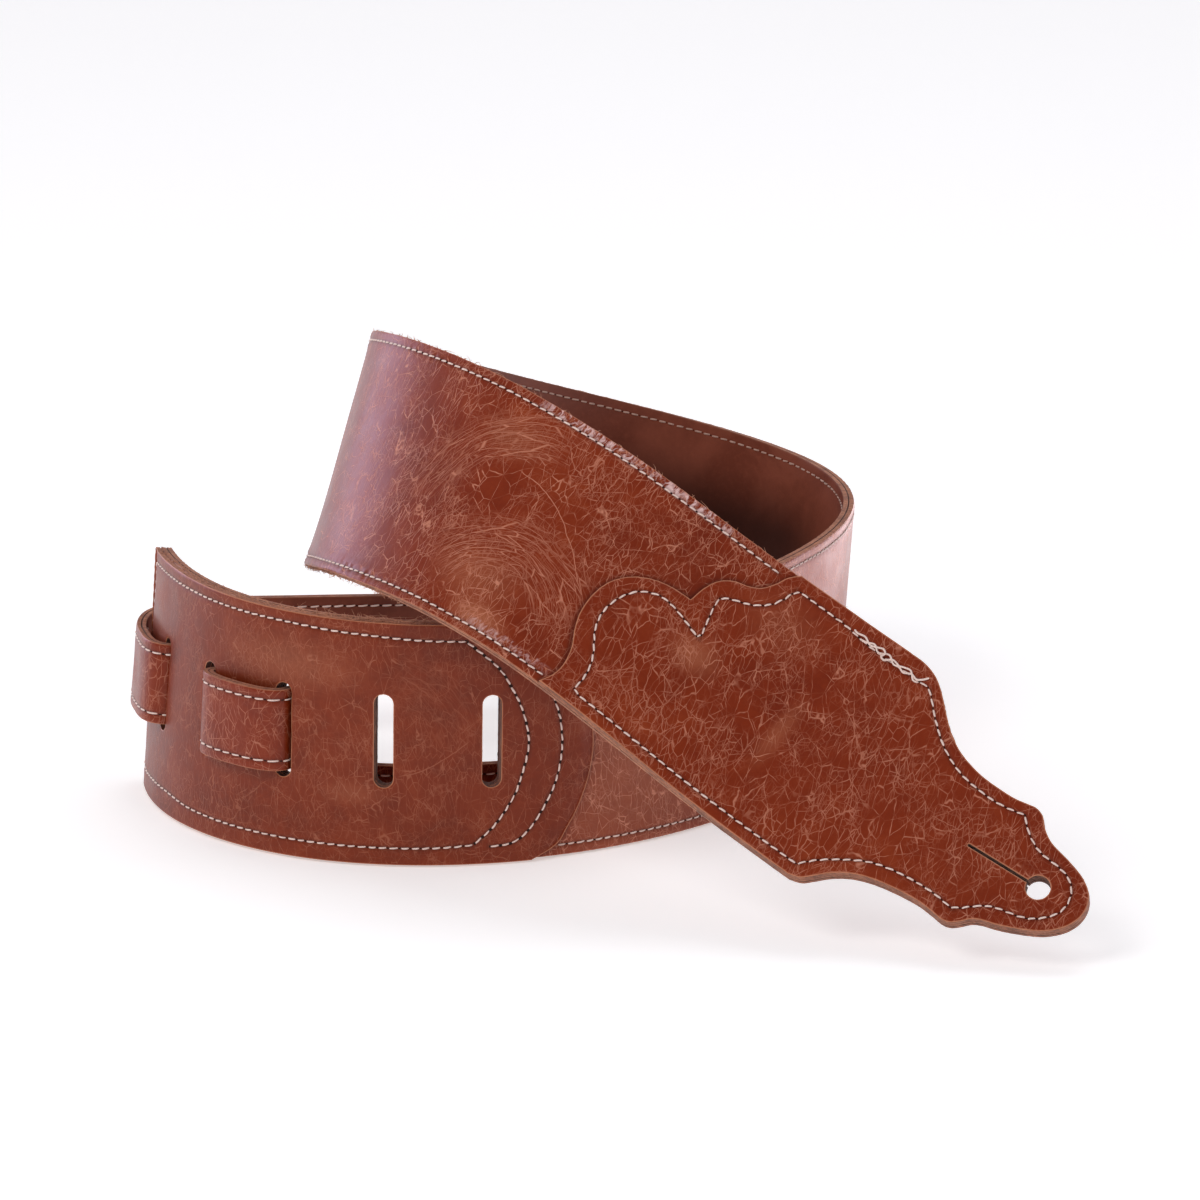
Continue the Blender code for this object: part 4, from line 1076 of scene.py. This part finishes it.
    # painted shade in the seam's groove and painted shadow beside the parts sewn on top, worn tan at the very edge
    deep = (dark[0] * 0.30, dark[1] * 0.30, dark[2] * 0.30)
    body = net.mix(net.span(net.attr("row"), 0.25, 1.4, 0.36, 0.0), body, deep)
    body = net.mix(net.span(net.attr("beside"), 0.0, 2.2, 0.70, 0.0), body, deep)
    worn = net.span(net.math("ADD", net.attr("edge"), net.math("MULTIPLY", speck, 0.15)), wear * 0.4, wear, 0.80, 0.0)
    body = net.mix(worn, body, (0.58, 0.235, 0.125))
    nt.links.new(body, bsdf.inputs["Base Color"])
    # fine grain
    pores = net.cells(net.vmath("ADD", plain, wob), 150.0, "F1")
    pores2 = net.cells(plain, 85.0, "F1")
    grain = net.math("ADD", net.math("MULTIPLY", pores, 0.5), net.math("MULTIPLY", pores2, 0.5))
    rough = net.math("ADD", shine, net.math("MULTIPLY", net.math("SUBTRACT", patch, 0.5), 0.30))
    rough = net.math("ADD", rough, net.math("MULTIPLY", veins, 0.12), clamp=True)
    nt.links.new(rough, bsdf.inputs["Roughness"])
    h = net.math("ADD", net.math("MULTIPLY", grain, 0.35), net.math("MULTIPLY", veins, -0.55))
    h = net.math("ADD", h, net.math("MULTIPLY", patch, 0.8))
    nt.links.new(net.bump(h, 0.45, 0.00024), bsdf.inputs["Normal"])
    bsdf.inputs["Specular IOR Level"].default_value = spec
    bsdf.inputs["Coat Weight"].default_value = 0.14
    bsdf.inputs["Coat Roughness"].default_value = 0.20
    bsdf.inputs["Sheen Weight"].default_value = 0.02
    bsdf.inputs["Sheen Roughness"].default_value = 0.45
    bsdf.inputs["Sheen Tint"].default_value = (0.86, 0.74, 0.90, 1)
    return m


def raw_edge(name, seed, base, deep, rough=0.85):
    m, nt, bsdf = nodes_of(name)
    net = Net(nt)
    co = net.uv(du=seed, dw=seed * 0.7)
    fibre = net.noise(co, 75.0, 5.0, 0.7, 0.6)
    lump = net.noise(net.vmath("ADD", co, (0.4, 0.9, 0.0)), 20.0, 3.0, 0.6)
    fine = net.noise(co, 260.0, 2.0, 0.6)
    f = net.math("ADD", net.math("MULTIPLY", fibre, 0.6), net.math("MULTIPLY", lump, 0.4))
    col = net.mix(net.span(f, 0.38, 0.62), deep, base)
    col = net.mix(net.math("MULTIPLY", net.span(fine, 0.5, 0.75), 0.35), col, (base[0] * 1.25, base[1] * 1.3, base[2] * 1.4))
    col = net.mix(net.span(net.attr("lay"), 0.45, 0.95, 0.0, 0.75), col, (deep[0] * 0.35, deep[1] * 0.35, deep[2] * 0.35))
    nt.links.new(col, bsdf.inputs["Base Color"])
    bsdf.inputs["Roughness"].default_value = rough
    h = net.math("ADD", net.math("MULTIPLY", fibre, 0.7), net.math("MULTIPLY", fine, 0.4))
    nt.links.new(net.bump(h, 0.7, 0.00035), bsdf.inputs["Normal"])
    bsdf.inputs["Sheen Weight"].default_value = 0.15
    bsdf.inputs["Sheen Tint"].default_value = (1.0, 0.85, 0.75, 1)
    return m


def lining_leather(name, seed, dark, light, deep=None):
    m, nt, bsdf = nodes_of(name)
    net = Net(nt)
    co = net.uv(du=seed, dw=seed * 0.4)
    cloud = net.noise(co, 3.5, 4.0, 0.6, 0.5)
    fine = net.noise(co, 55.0, 4.0, 0.65)
    pores = net.cells(co, 120.0, "F1")
    col = net.mix(net.span(cloud, 0.35, 0.65), dark, light)
    col = net.mix(net.math("MULTIPLY", net.span(fine, 0.45, 0.75), 0.25), col, (light[0] * 1.3, light[1] * 1.3, light[2] * 1.3))
    worn = net.span(net.attr("edge"), 0.1, 0.5, 0.5, 0.0)
    col = net.mix(worn, col, (0.30, 0.12, 0.07))
    if deep:
        # painted shade: a stretch much darker towards the lower edge, where the inside of the loop is in shade
        ua, ub, wa, wb, force = deep
        sp = net.new("ShaderNodeSeparateXYZ")
        nt.links.new(net.uv(), sp.inputs[0])
        mu = net.math("MULTIPLY", net.span(sp.outputs[0], ua * 0.01, (ua + 42) * 0.01),
                      net.span(sp.outputs[0], (ub - 45) * 0.01, ub * 0.01, 1.0, 0.0))
        mw = net.span(sp.outputs[1], wb * 0.01, wa * 0.01, 1.0, 0.0)
        col = net.mix(net.math("MULTIPLY", net.math("MULTIPLY", mu, mw), force), col, (0.020, 0.005, 0.003))
    nt.links.new(col, bsdf.inputs["Base Color"])
    nt.links.new(net.math("ADD", 0.42, net.math("MULTIPLY", cloud, 0.16)), bsdf.inputs["Roughness"])
    h = net.math("ADD", net.math("MULTIPLY", pores, 0.4), net.math("MULTIPLY", fine, 0.5))
    nt.links.new(net.bump(h, 0.3, 0.00015), bsdf.inputs["Normal"])
    bsdf.inputs["Specular IOR Level"].default_value = 0.28
    return m


def thread_finish(name, base):
    m, nt, bsdf = nodes_of(name)
    net = Net(nt)
    co = net.uv(1.0, 1.0, 0, 0, 0.6)
    w = net.new("ShaderNodeTexWave", wave_type="BANDS", bands_direction="X", wave_profile="SIN")
    nt.links.new(co, w.inputs["Vector"])
    w.inputs["Scale"].default_value = 70.0
    w.inputs["Distortion"].default_value = 1.0
    tone = net.attr("tone")
    col = net.mix(net.math("MULTIPLY", tone, 0.35), base, (base[0] * 0.80, base[1] * 0.70, base[2] * 0.66))
    col = net.mix(net.math("MULTIPLY", w.outputs["Fac"], 0.22), col, (base[0] * 0.62, base[1] * 0.52, base[2] * 0.47))
    nt.links.new(col, bsdf.inputs["Base Color"])
    bsdf.inputs["Roughness"].default_value = 0.55
    bsdf.inputs["Sheen Weight"].default_value = 0.2
    nt.links.new(net.bump(w.outputs["Fac"], 0.5, 0.0001), bsdf.inputs["Normal"])
    return m


# painted shade: the near-black of the inside of a needle hole
def hole_shade_finish(name):
    m, nt, bsdf = nodes_of(name)
    net = Net(nt)
    f = net.noise(net.uv(), 300.0, 2.0, 0.6)
    nt.links.new(net.mix(f, (0.012, 0.005, 0.004), (0.035, 0.012, 0.008)), bsdf.inputs["Base Color"])
    bsdf.inputs["Roughness"].default_value = 0.8
    bsdf.inputs["Specular IOR Level"].default_value = 0.2
    return m


DARK, MID, LIGHT = (0.172, 0.016, 0.0015), (0.220, 0.0235, 0.0025), (0.285, 0.042, 0.008)
VEIN = (0.80, 0.34, 0.215)
# painted highlights on the strap grain: the pale strips along both seam rims and the pale patch at u 757, w -31
G_MAIN = grain_leather("grain_strap", 1.0, DARK, MID, LIGHT, VEIN, 0.88, 0.36, -0.18,
                       fans=((748.0, -8.0, 32.0, 45.0, 100.0, 170.0, 0.85), (757.0, -34.0, 20.0, 36.0, 35.0, 150.0, 0.85)),
                       rim_highlights=((722.0, 806.0, 35.7, 39.6, 0.95), (748.0, 788.0, -34.4, -31.5, 0.60)),
                       scratches=((731.0, -38.0, 54.0, 40.0, 86.0, 0.22),),
                       pale_patches_and_highlights=((748.0, -20.0, 22.0, 14.0, 0.26), (757.0, -31.0, 14.0, 7.0, 0.55), (728.0, 24.0, 16.0, 10.0, 0.22),
                              (205.0, -12.0, 60.0, 60.0, 0.30)))
G_YOKE = grain_leather("grain_yoke", 4.0, DARK, (0.216, 0.0225, 0.002), (0.27, 0.038, 0.007), VEIN, 0.74, 0.36, -0.30, 1.12, wear=0.56,
                       pale_patches_and_highlights=((815.0, 0.0, 12.0, 9.0, 0.40), (850.0, -4.0, 5.0, 18.0, 0.28), (830.0, 24.0, 20.0, 14.0, 0.15)))
G_PANEL = grain_leather("grain_panel", 7.0, (0.145, 0.0165, 0.0025), (0.205, 0.026, 0.0045), (0.285, 0.052, 0.016),
                        (0.56, 0.21, 0.12), 0.58, 0.40, -0.1, 0.9, wear=0.48, spec=0.16, scratches=((120.0, 40.5, 49.7, -77.0, -48.0, 0.25),),
                        fans=((128.0, 4.0, 12.0, 26.0, -10.0, 80.0, 0.55),),
                        pale_patches_and_highlights=((96.0, 24.0, 34.0, 12.0, 0.26), (118.0, -14.0, 14.0, 6.0, 0.20)))
G_TAIL = grain_leather("grain_tail", 11.0, DARK, MID, LIGHT, VEIN, 0.6, 0.38, 0.0, 1.0)
EDGE = raw_edge("cut_edge", 2.0, (0.47, 0.175, 0.085), (0.23, 0.070, 0.032))
EDGE_DARK = raw_edge("cut_edge_dark", 5.0, (0.24, 0.085, 0.045), (0.10, 0.035, 0.02))
FLESH = raw_edge("flesh_side", 3.0, (0.34, 0.13, 0.07), (0.22, 0.08, 0.045))
LINING = lining_leather("lining", 1.0, (0.165, 0.040, 0.021), (0.235, 0.064, 0.036))
# the strap's lining, with painted shade in the lower part of the loop's inside
LINING_STRAP_SHADED = lining_leather("lining_strap", 1.0, (0.182, 0.044, 0.023), (0.258, 0.070, 0.039), (362.0, 510.0, 31.0, 8.0, 0.88))
THREAD = thread_finish("sewing_thread", (0.96, 0.77, 0.69))
THREAD_UNDER = thread_finish("lining_thread", (0.60, 0.40, 0.32))
FIBRE = raw_edge("loose_fibre", 5.0, (0.66, 0.34, 0.22), (0.46, 0.20, 0.12))
EDGE_TAB = raw_edge("cut_edge_tab", 8.0, (0.36, 0.125, 0.060), (0.15, 0.046, 0.022))
# painted shade: a darker copy of the cut edge for the walls of the slots and pin holes
SLOT_WALL_SHADE = raw_edge("slot_wall_shade", 6.0, (0.20, 0.065, 0.032), (0.055, 0.016, 0.010))
NEEDLE_SHADE = hole_shade_finish("needle_hole_shade")

# ---------------------------------------------------------------- the leather
SPACE = 1.5
slots_flat = [slot_hole(u) for u in SLOTS]
body = make_pattern(body_outline(), slots_flat + [PIN], SPACE, STRAP_CUT, [(UPPER_ROW, False), (LOWER_ROW, False)])
panel = make_pattern(panel_outline(), slots_flat, SPACE * 0.85, rows=[(PANEL_RIM, False), (ARC_IN, False), (ARC_OUT, False)])
yoke = make_pattern(yoke_outline(), [PIN], SPACE * 0.8, rows=[(YOKE_LOOP, True)])
tail = make_pattern(tail_outline(), [TAIL_PIN], 1.3, rows=[([(3.0, -9.6), (TAIL_TOTAL - 14, -9.6)], False), ([(3.0, 9.6), (TAIL_TOTAL - 14, 9.6)], False)])

# edges of the parts sewn on top, for the painted shadow on the strap grain beside them
overlay_shadow_edges = tree_of(np.concatenate([resample(joined(spline(YOKE_REAR, 0.9), spline(YOKE_REAR_2, 0.9)), 0.3)[0],
                                        resample(panel_edge(), 0.3)[0]]))
strap_face = leather_piece("strap_grain_layer", body, strap_point, *FACE, "face", [G_MAIN, EDGE, FLESH, SLOT_WALL_SHADE],
                           u1=STRAP_CUT, beside=overlay_shadow_edges)
tab_core = leather_piece("tab_core_layer", body, strap_point, *FACE, None, [G_MAIN, EDGE_TAB, FLESH, SLOT_WALL_SHADE], u0=STRAP_CUT)
strap_back = leather_piece("strap_lining_layer", body, strap_point, *BACK, None, [FLESH, EDGE, LINING_STRAP_SHADED, SLOT_WALL_SHADE], u1=STRAP_CUT, under="lining")
tab_back = leather_piece("tab_lining_layer", body, strap_point, *BACK, None, [FLESH, EDGE_TAB, LINING, SLOT_WALL_SHADE], u0=STRAP_CUT, under="lining")
panel_ob = leather_piece("slotted_panel_leather", panel, strap_point, *OVER, "panel", [G_PANEL, EDGE, FLESH, SLOT_WALL_SHADE])
yoke_ob = leather_piece("pin_tab_leather", yoke, strap_point, *OVER, "yoke", [G_YOKE, EDGE_TAB, FLESH, SLOT_WALL_SHADE])

TAIL_A, TAIL_B = 150.0, 280.0


def tail_piece(name, lo, hi, kind, finish, u0, u1, under):
    return leather_piece(name, tail, tail_point, lo, hi, kind, finish, u0=u0, u1=u1, under=under, fray=0.07)


# part the tail's pattern on clean lines by its triangles' middles
tail_parts = []
for tag, u0, u1 in (("woven", -1e9, TAIL_A), ("run", TAIL_A, TAIL_B), ("end", TAIL_B, 1e9)):
    tail_parts.append((tag,
                       tail_piece("tail_%s_grain" % tag, *TAIL_FACE, "tail", [G_TAIL, EDGE, FLESH], u0, u1, "plain"),
                       tail_piece("tail_%s_lining" % tag, *TAIL_LINE, None, [FLESH, EDGE, LINING], u0, u1, "lining")))

# ----------------------------------------------------------------- the seams
face_rel = lambda u, w: grain_relief("face", u, w)[0]
panel_rel = lambda u, w: grain_relief("panel", u, w)[0]
yoke_rel = lambda u, w: grain_relief("yoke", u, w)[0]


def seam(name, rows, material=THREAD):
    made = [stitch_row(**r) for r in rows]
    threads = merge_rows(name, [m[0] for m in made], material)
    holes = merge_rows(name + "_holes", [(m[1][0], m[1][1], np.zeros(len(m[1][0])), m[1][2]) for m in made], NEEDLE_SHADE)
    return threads, holes


def row(path, pitch, closed=False, height=FACE[1], side=1, relief=None, **more):
    return dict(path=path, pitch=pitch, closed=closed, point=strap_point, height=height, side=side, relief=relief, **more)


edge_seams = seam("strap_edge_stitches", [row(UPPER_ROW, 3.15, relief=face_rel), row(LOWER_ROW, 3.15, relief=face_rel)])
panel_seams = seam("panel_stitches", [row(PANEL_RIM, 3.15, height=OVER[1], relief=panel_rel),
                                      row(ARC_IN, 3.3, height=OVER[1], relief=panel_rel, hole=1.85),
                                      row(ARC_OUT, 3.3, height=OVER[1], relief=panel_rel, hole=1.7)])
yoke_seams = seam("pin_tab_stitches", [row(YOKE_LOOP, 3.3, True, height=OVER[1], relief=yoke_rel)])
back = -BACK[0]
under = [row(UPPER_ROW, 3.15, height=back, side=-1, hole=0.62), row(LOWER_ROW, 3.15, height=back, side=-1, hole=0.62),
         row(PANEL_RIM, 3.15, height=back, side=-1, hole=0.62), row(ARC_IN, 3.15, height=back, side=-1, hole=0.62),
         row(ARC_OUT, 3.15, height=back, side=-1, hole=0.62)]
under_seams = seam("lining_stitches", under, THREAD_UNDER)
under_tab = seam("tab_lining_stitches", [row(YOKE_LOOP, 3.3, True, height=back, side=-1, hole=0.62)], THREAD_UNDER)

tail_rel = lambda u, w: grain_relief("tail", u, w)[0]
tail_seams = []
for tag, a, b in (("woven", 3.0, 147.0), ("run", 151.0, 279.0), ("end", 281.0, TAIL_TOTAL - 14)):
    rows_ = []
    for w in (-9.6, 9.6):
        rows_.append(dict(path=[(a, w), (b, w)], pitch=4.0, closed=False, point=tail_point, height=TAIL_FACE[1], side=1,
                          relief=tail_rel))
        rows_.append(dict(path=[(a, w), (b, w)], pitch=4.0, closed=False, point=tail_point, height=-TAIL_LINE[0], side=-1))
    tail_seams.append((tag, *seam("tail_%s_stitches" % tag, rows_)))


# --------------------------------------------------------------- loose fibres
def fibres(name, point, path, count, o0, o1, length, material, out=1.0):
    """Short curled fibres that stand out of a raw cut edge."""
    base, at = resample(path, 0.5)
    co, faces = [], []
    for _ in range(count):
        k = RNG.integers(0, len(base) - 1)
        a = base[k]
        o = RNG.uniform(o0, o1)
        L = length * RNG.uniform(0.35, 1.0) ** 1.4
        du, dw, do = RNG.normal(0, 0.8), out * RNG.uniform(0.4, 1.0), RNG.normal(0, 0.5)
        cu, cd = RNG.normal(0, 0.9), RNG.normal(0, 0.7)
        r = RNG.uniform(0.10, 0.16)
        m = 4
        pts = []
        for j in range(m + 1):
            s = j / m
            pts.append((a[0] + L * (du * s + cu * s * s), a[1] + L * (dw * s - 0.35 * abs(cu) * out * s * s) - 0.1 * out,
                        o + L * (do * s + cd * s * s) * 0.6))
        P = point([p[0] for p in pts], [p[1] for p in pts], [p[2] for p in pts])
        t = rows_unit(np.gradient(P, axis=0))
        q = rows_unit(np.cross(t, [0.3, 0.5, 0.8]))
        s3 = np.cross(t, q)
        start = len(co)
        for j in range(m + 1):
            rr = r * MM * (1 - 0.75 * j / m)
            for g in range(3):
                ang = 2 * math.pi * g / 3
                co.append(P[j] + q[j] * rr * math.cos(ang) + s3[j] * rr * math.sin(ang))
        for j in range(m):
            for g in range(3):
                g2 = (g + 1) % 3
                faces.append((start + 3 * j + g, start + 3 * j + g2, start + 3 * j + 3 + g2, start + 3 * j + 3 + g))
        faces.append((start + 2, start + 1, start))
        faces.append((start + 3 * m, start + 3 * m + 1, start + 3 * m + 2))
    co = np.array(co)
    return mesh_from(name, co, faces, np.zeros(len(faces), int), np.zeros((len(co), 2)), {}, [material])


def loose_thread(name, points, radius, material):
    """One free thread through points given as (u, w, o)."""
    pts = np.array(points, float)
    dense = []
    for k in range(len(pts) - 1):
        p0, p1, p2, p3 = pts[max(k - 1, 0)], pts[k], pts[k + 1], pts[min(k + 2, len(pts) - 1)]
        for j in range(5):
            s = j / 5
            dense.append(0.5 * (2 * p1 + (p2 - p0) * s + (2 * p0 - 5 * p1 + 4 * p2 - p3) * s * s
                                + (3 * p1 - p0 - 3 * p2 + p3) * s ** 3))
    dense.append(pts[-1])
    q = np.array(dense)
    P = strap_point(q[:, 0], q[:, 1], q[:, 2])
    t = rows_unit(np.gradient(P, axis=0))
    nrm = strap_normal(q[:, 0], q[:, 1])
    a = rows_unit(np.cross(t, nrm))
    b = np.cross(a, t)
    m, sides = len(q), 7
    co = []
    for j in range(m):
        rr = radius * MM * (0.6 if j in (0, m - 1) else 1.0)
        for g in range(sides):
            ang = 2 * math.pi * g / sides
            co.append(P[j] + a[j] * rr * math.cos(ang) + b[j] * rr * math.sin(ang))
    faces = []
    for j in range(m - 1):
        for g in range(sides):
            g2 = (g + 1) % sides
            faces.append((j * sides + g, j * sides + g2, (j + 1) * sides + g2, (j + 1) * sides + g))
    faces.append(tuple(range(sides - 1, -1, -1)))
    faces.append(tuple((m - 1) * sides + g for g in range(sides)))
    along = np.repeat(np.arange(m) * 0.004, sides)
    return mesh_from(name, np.array(co), faces, np.zeros(len(faces), int), np.stack([along, along * 0], axis=1),
                     {"tone": np.full(len(co), 0.2)}, [material])


# the seam of the yoke starts and ends here, sewn over twice
backstitch = loose_thread("backstitch_thread", [
    (848.0, 34.0, 3.7), (849.6, 33.5, 4.15), (852.2, 33.9, 4.2), (854.8, 32.7, 4.15), (857.2, 33.4, 4.2),
    (859.0, 33.9, 4.6), (860.4, 33.0, 4.9), (860.0, 31.6, 4.9), (861.4, 31.2, 4.7), (863.2, 32.9, 4.3),
    (865.8, 32.5, 4.2), (868.2, 31.6, 4.25), (870.6, 32.6, 4.3), (872.8, 32.1, 4.3), (874.6, 33.4, 4.4),
    (875.6, 34.6, 4.5)], 0.30, THREAD)
backstitch_b = loose_thread("backstitch_thread_b", [
    (851.0, 32.6, 3.7), (853.4, 32.7, 4.2), (856.0, 33.6, 4.3), (858.4, 32.2, 4.3), (861.6, 33.5, 4.45),
    (864.4, 31.9, 4.3), (867.2, 32.9, 4.35), (869.8, 33.3, 4.35), (872.0, 31.4, 4.2), (873.6, 31.9, 3.7)], 0.28, THREAD)

fuzz = [
    fibres("fibres_panel_edge", strap_point, [(2, H), (60, H)], 110, 0.2, 3.4, 2.0, FIBRE),
    fibres("fibres_panel_edge_b", strap_point, [(60, H), (170, H)], 300, 0.2, 3.2, 2.8, FIBRE),
    fibres("fibres_upper_edge", strap_point, [(560, H), (845, H)], 300, -1.5, 1.6, 2.0, FIBRE),
    fibres("fibres_panel_tuft", strap_point, [(108, H), (158, H)], 130, 0.4, 3.2, 4.4, FIBRE),
    fibres("fibres_lower_edge", strap_point, [(620, -H), (730, -H)], 300, -1.6, 1.4, 2.3, FIBRE, -1.0),
]

# -------------------------------------------------------- the strap's pieces ride on its body, the rest stays in place
pt = lambda u, o=0.0: tuple(strap_point(u, 0.0, o)[0])
tpt = lambda u: tuple(tail_point(u, 0.0, 0.0)[0])
FLEX = (pt(890.0), pt(920.0))
for ob in (strap_face, strap_back, panel_ob, *edge_seams, *panel_seams, *under_seams, *fuzz):
    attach(ob, "strap")
for ob in (tab_core, tab_back, yoke_ob, *yoke_seams, *under_tab, backstitch, backstitch_b):
    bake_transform(ob)
SWING = (tpt(SWING_AT - 13), tpt(SWING_AT + 13))
FOLD = (tpt(FOLD_AT - 16), tpt(FOLD_AT + 16))
for tag, *obs in tail_parts + tail_seams:
    for ob in obs:
        if tag == "woven":
            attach(ob, "strap")
        elif tag == "run":
            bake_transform(ob)
        else:
            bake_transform(ob)

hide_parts("strap_face")
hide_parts("strap_backing")
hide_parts("slotted_panel")
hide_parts("tab_yoke", "tab_end")
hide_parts("tab_core")
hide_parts("tab_backing")
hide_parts("upper_edge_thread", "lower_edge_thread")
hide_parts("panel_edge_thread", "panel_arc_thread_inner", "panel_arc_thread_outer")
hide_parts("yoke_thread", "tab_thread")
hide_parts("upper_bobbin_thread", "lower_bobbin_thread")
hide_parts("tab_bobbin_thread")
for (tag, grain_ob, line_ob), node in zip(tail_parts, ("tail_woven", "tail_run", "tail_tip")):
    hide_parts(node + "_face")
    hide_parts(node + "_lining")
for (tag, thread_ob, _), node in zip(tail_seams, ("tail_woven", "tail_run", "tail_tip")):
    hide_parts(node + "_thread_upper", node + "_thread_lower")

# -------------------------------------------------------------------- studio
scene = bpy.context.scene
scene.view_settings.view_transform = "Standard"

floor_me = bpy.data.meshes.new("floor")
floor_me.from_pydata([(-9, -9, -0.0006), (9, -9, -0.0006), (9, 9, -0.0006), (-9, 9, -0.0006)], [], [(0, 1, 2, 3)])
floor = bpy.data.objects.new("floor", floor_me)
scene.collection.objects.link(floor)
fm, fnt, fb = nodes_of("floor_paper")
fnet = Net(fnt)
fb.inputs["Base Color"].default_value = (0.88, 0.88, 0.885, 1)
fb.inputs["Roughness"].default_value = 0.8
fb.inputs["Specular IOR Level"].default_value = 0.1
fb.inputs["Emission Color"].default_value = (1, 1, 1, 1)
fb.inputs["Emission Strength"].default_value = 0.42
floor_me.materials.append(fm)

world = bpy.data.worlds.new("studio")
scene.world = world
world.use_nodes = True
bg = world.node_tree.nodes.get("Background")
if bg is None:
    bg = world.node_tree.nodes.new("ShaderNodeBackground")
    wo = world.node_tree.nodes.new("ShaderNodeOutputWorld")
    world.node_tree.links.new(bg.outputs[0], wo.inputs[0])
wnt = world.node_tree
wnet = Net(wnt)
# a white cyclorama: dark on the camera's side and overhead,
# bright and slightly cool behind
sky = wnet.new("ShaderNodeTexCoord").outputs["Generated"]
sep = wnet.new("ShaderNodeSeparateXYZ")
wnt.links.new(sky, sep.inputs[0])
sx, sy, sz = sep.outputs
front = wnet.span(sy, -0.75, 0.15, 1.0, 0.0)
room = wnet.mix(front, (0.95, 0.94, 1.0), (0.30, 0.28, 0.29))
room = wnet.mix(wnet.span(sz, 0.40, 0.85), room, (0.30, 0.29, 0.31))
wnt.links.new(room, bg.inputs["Color"])
bg.inputs["Strength"].default_value = 0.9


def softbox(name, at, aim, size, radiance, colour, gloss=False):
    """A rectangular light; a gloss one is only seen in reflections, the others only
    light the surfaces."""
    data = bpy.data.lights.new(name, "AREA")
    data.shape = "RECTANGLE"
    data.size, data.size_y = size
    data.energy = radiance * math.pi * size[0] * size[1]
    data.color = colour
    ob = bpy.data.objects.new(name, data)
    ob.location = at
    ob.rotation_euler = (Vector(aim) - Vector(at)).to_track_quat("-Z", "Y").to_euler()
    scene.collection.objects.link(ob)
    ob.visible_camera = False
    ob.visible_glossy = gloss
    ob.visible_diffuse = not gloss
    return ob


softbox("key_front_left", (-1.0, -1.3, 1.5), (0, 0, 0.05), (0.9, 0.7), 7.0, (1.0, 0.985, 0.97))
softbox("fill_top", (0.3, 0.4, 2.2), (0, 0, 0), (1.4, 1.4), 1.6, (1.0, 0.99, 1.0))
softbox("sheen_left", (-1.15, 0.95, 0.33), (-0.12, -0.05, 0.10), (0.75, 0.75), 2.5, (0.88, 0.70, 1.04), True)
softbox("sheen_right", (0.75, 0.35, 0.004), (0.75, 0.35, 1.0), (1.15, 1.6), 3.3, (1.0, 0.74, 0.76), True)
softbox("sheen_back", (-0.2, 1.3, 1.25), (0, 0, 0.08), (1.2, 0.5), 2.6, (1.0, 0.95, 0.97), True)

cam_data = bpy.data.cameras.new("camera")
cam = bpy.data.objects.new("camera", cam_data)
scene.collection.objects.link(cam)
cam.location = (0.003094, -2.10317, 0.63733)
cam.rotation_euler = (math.radians(74.87), 0.0, 0.0)
cam_data.sensor_width = 36.0
cam_data.lens = 211.0
cam_data.clip_start, cam_data.clip_end = 0.05, 60.0
scene.camera = cam
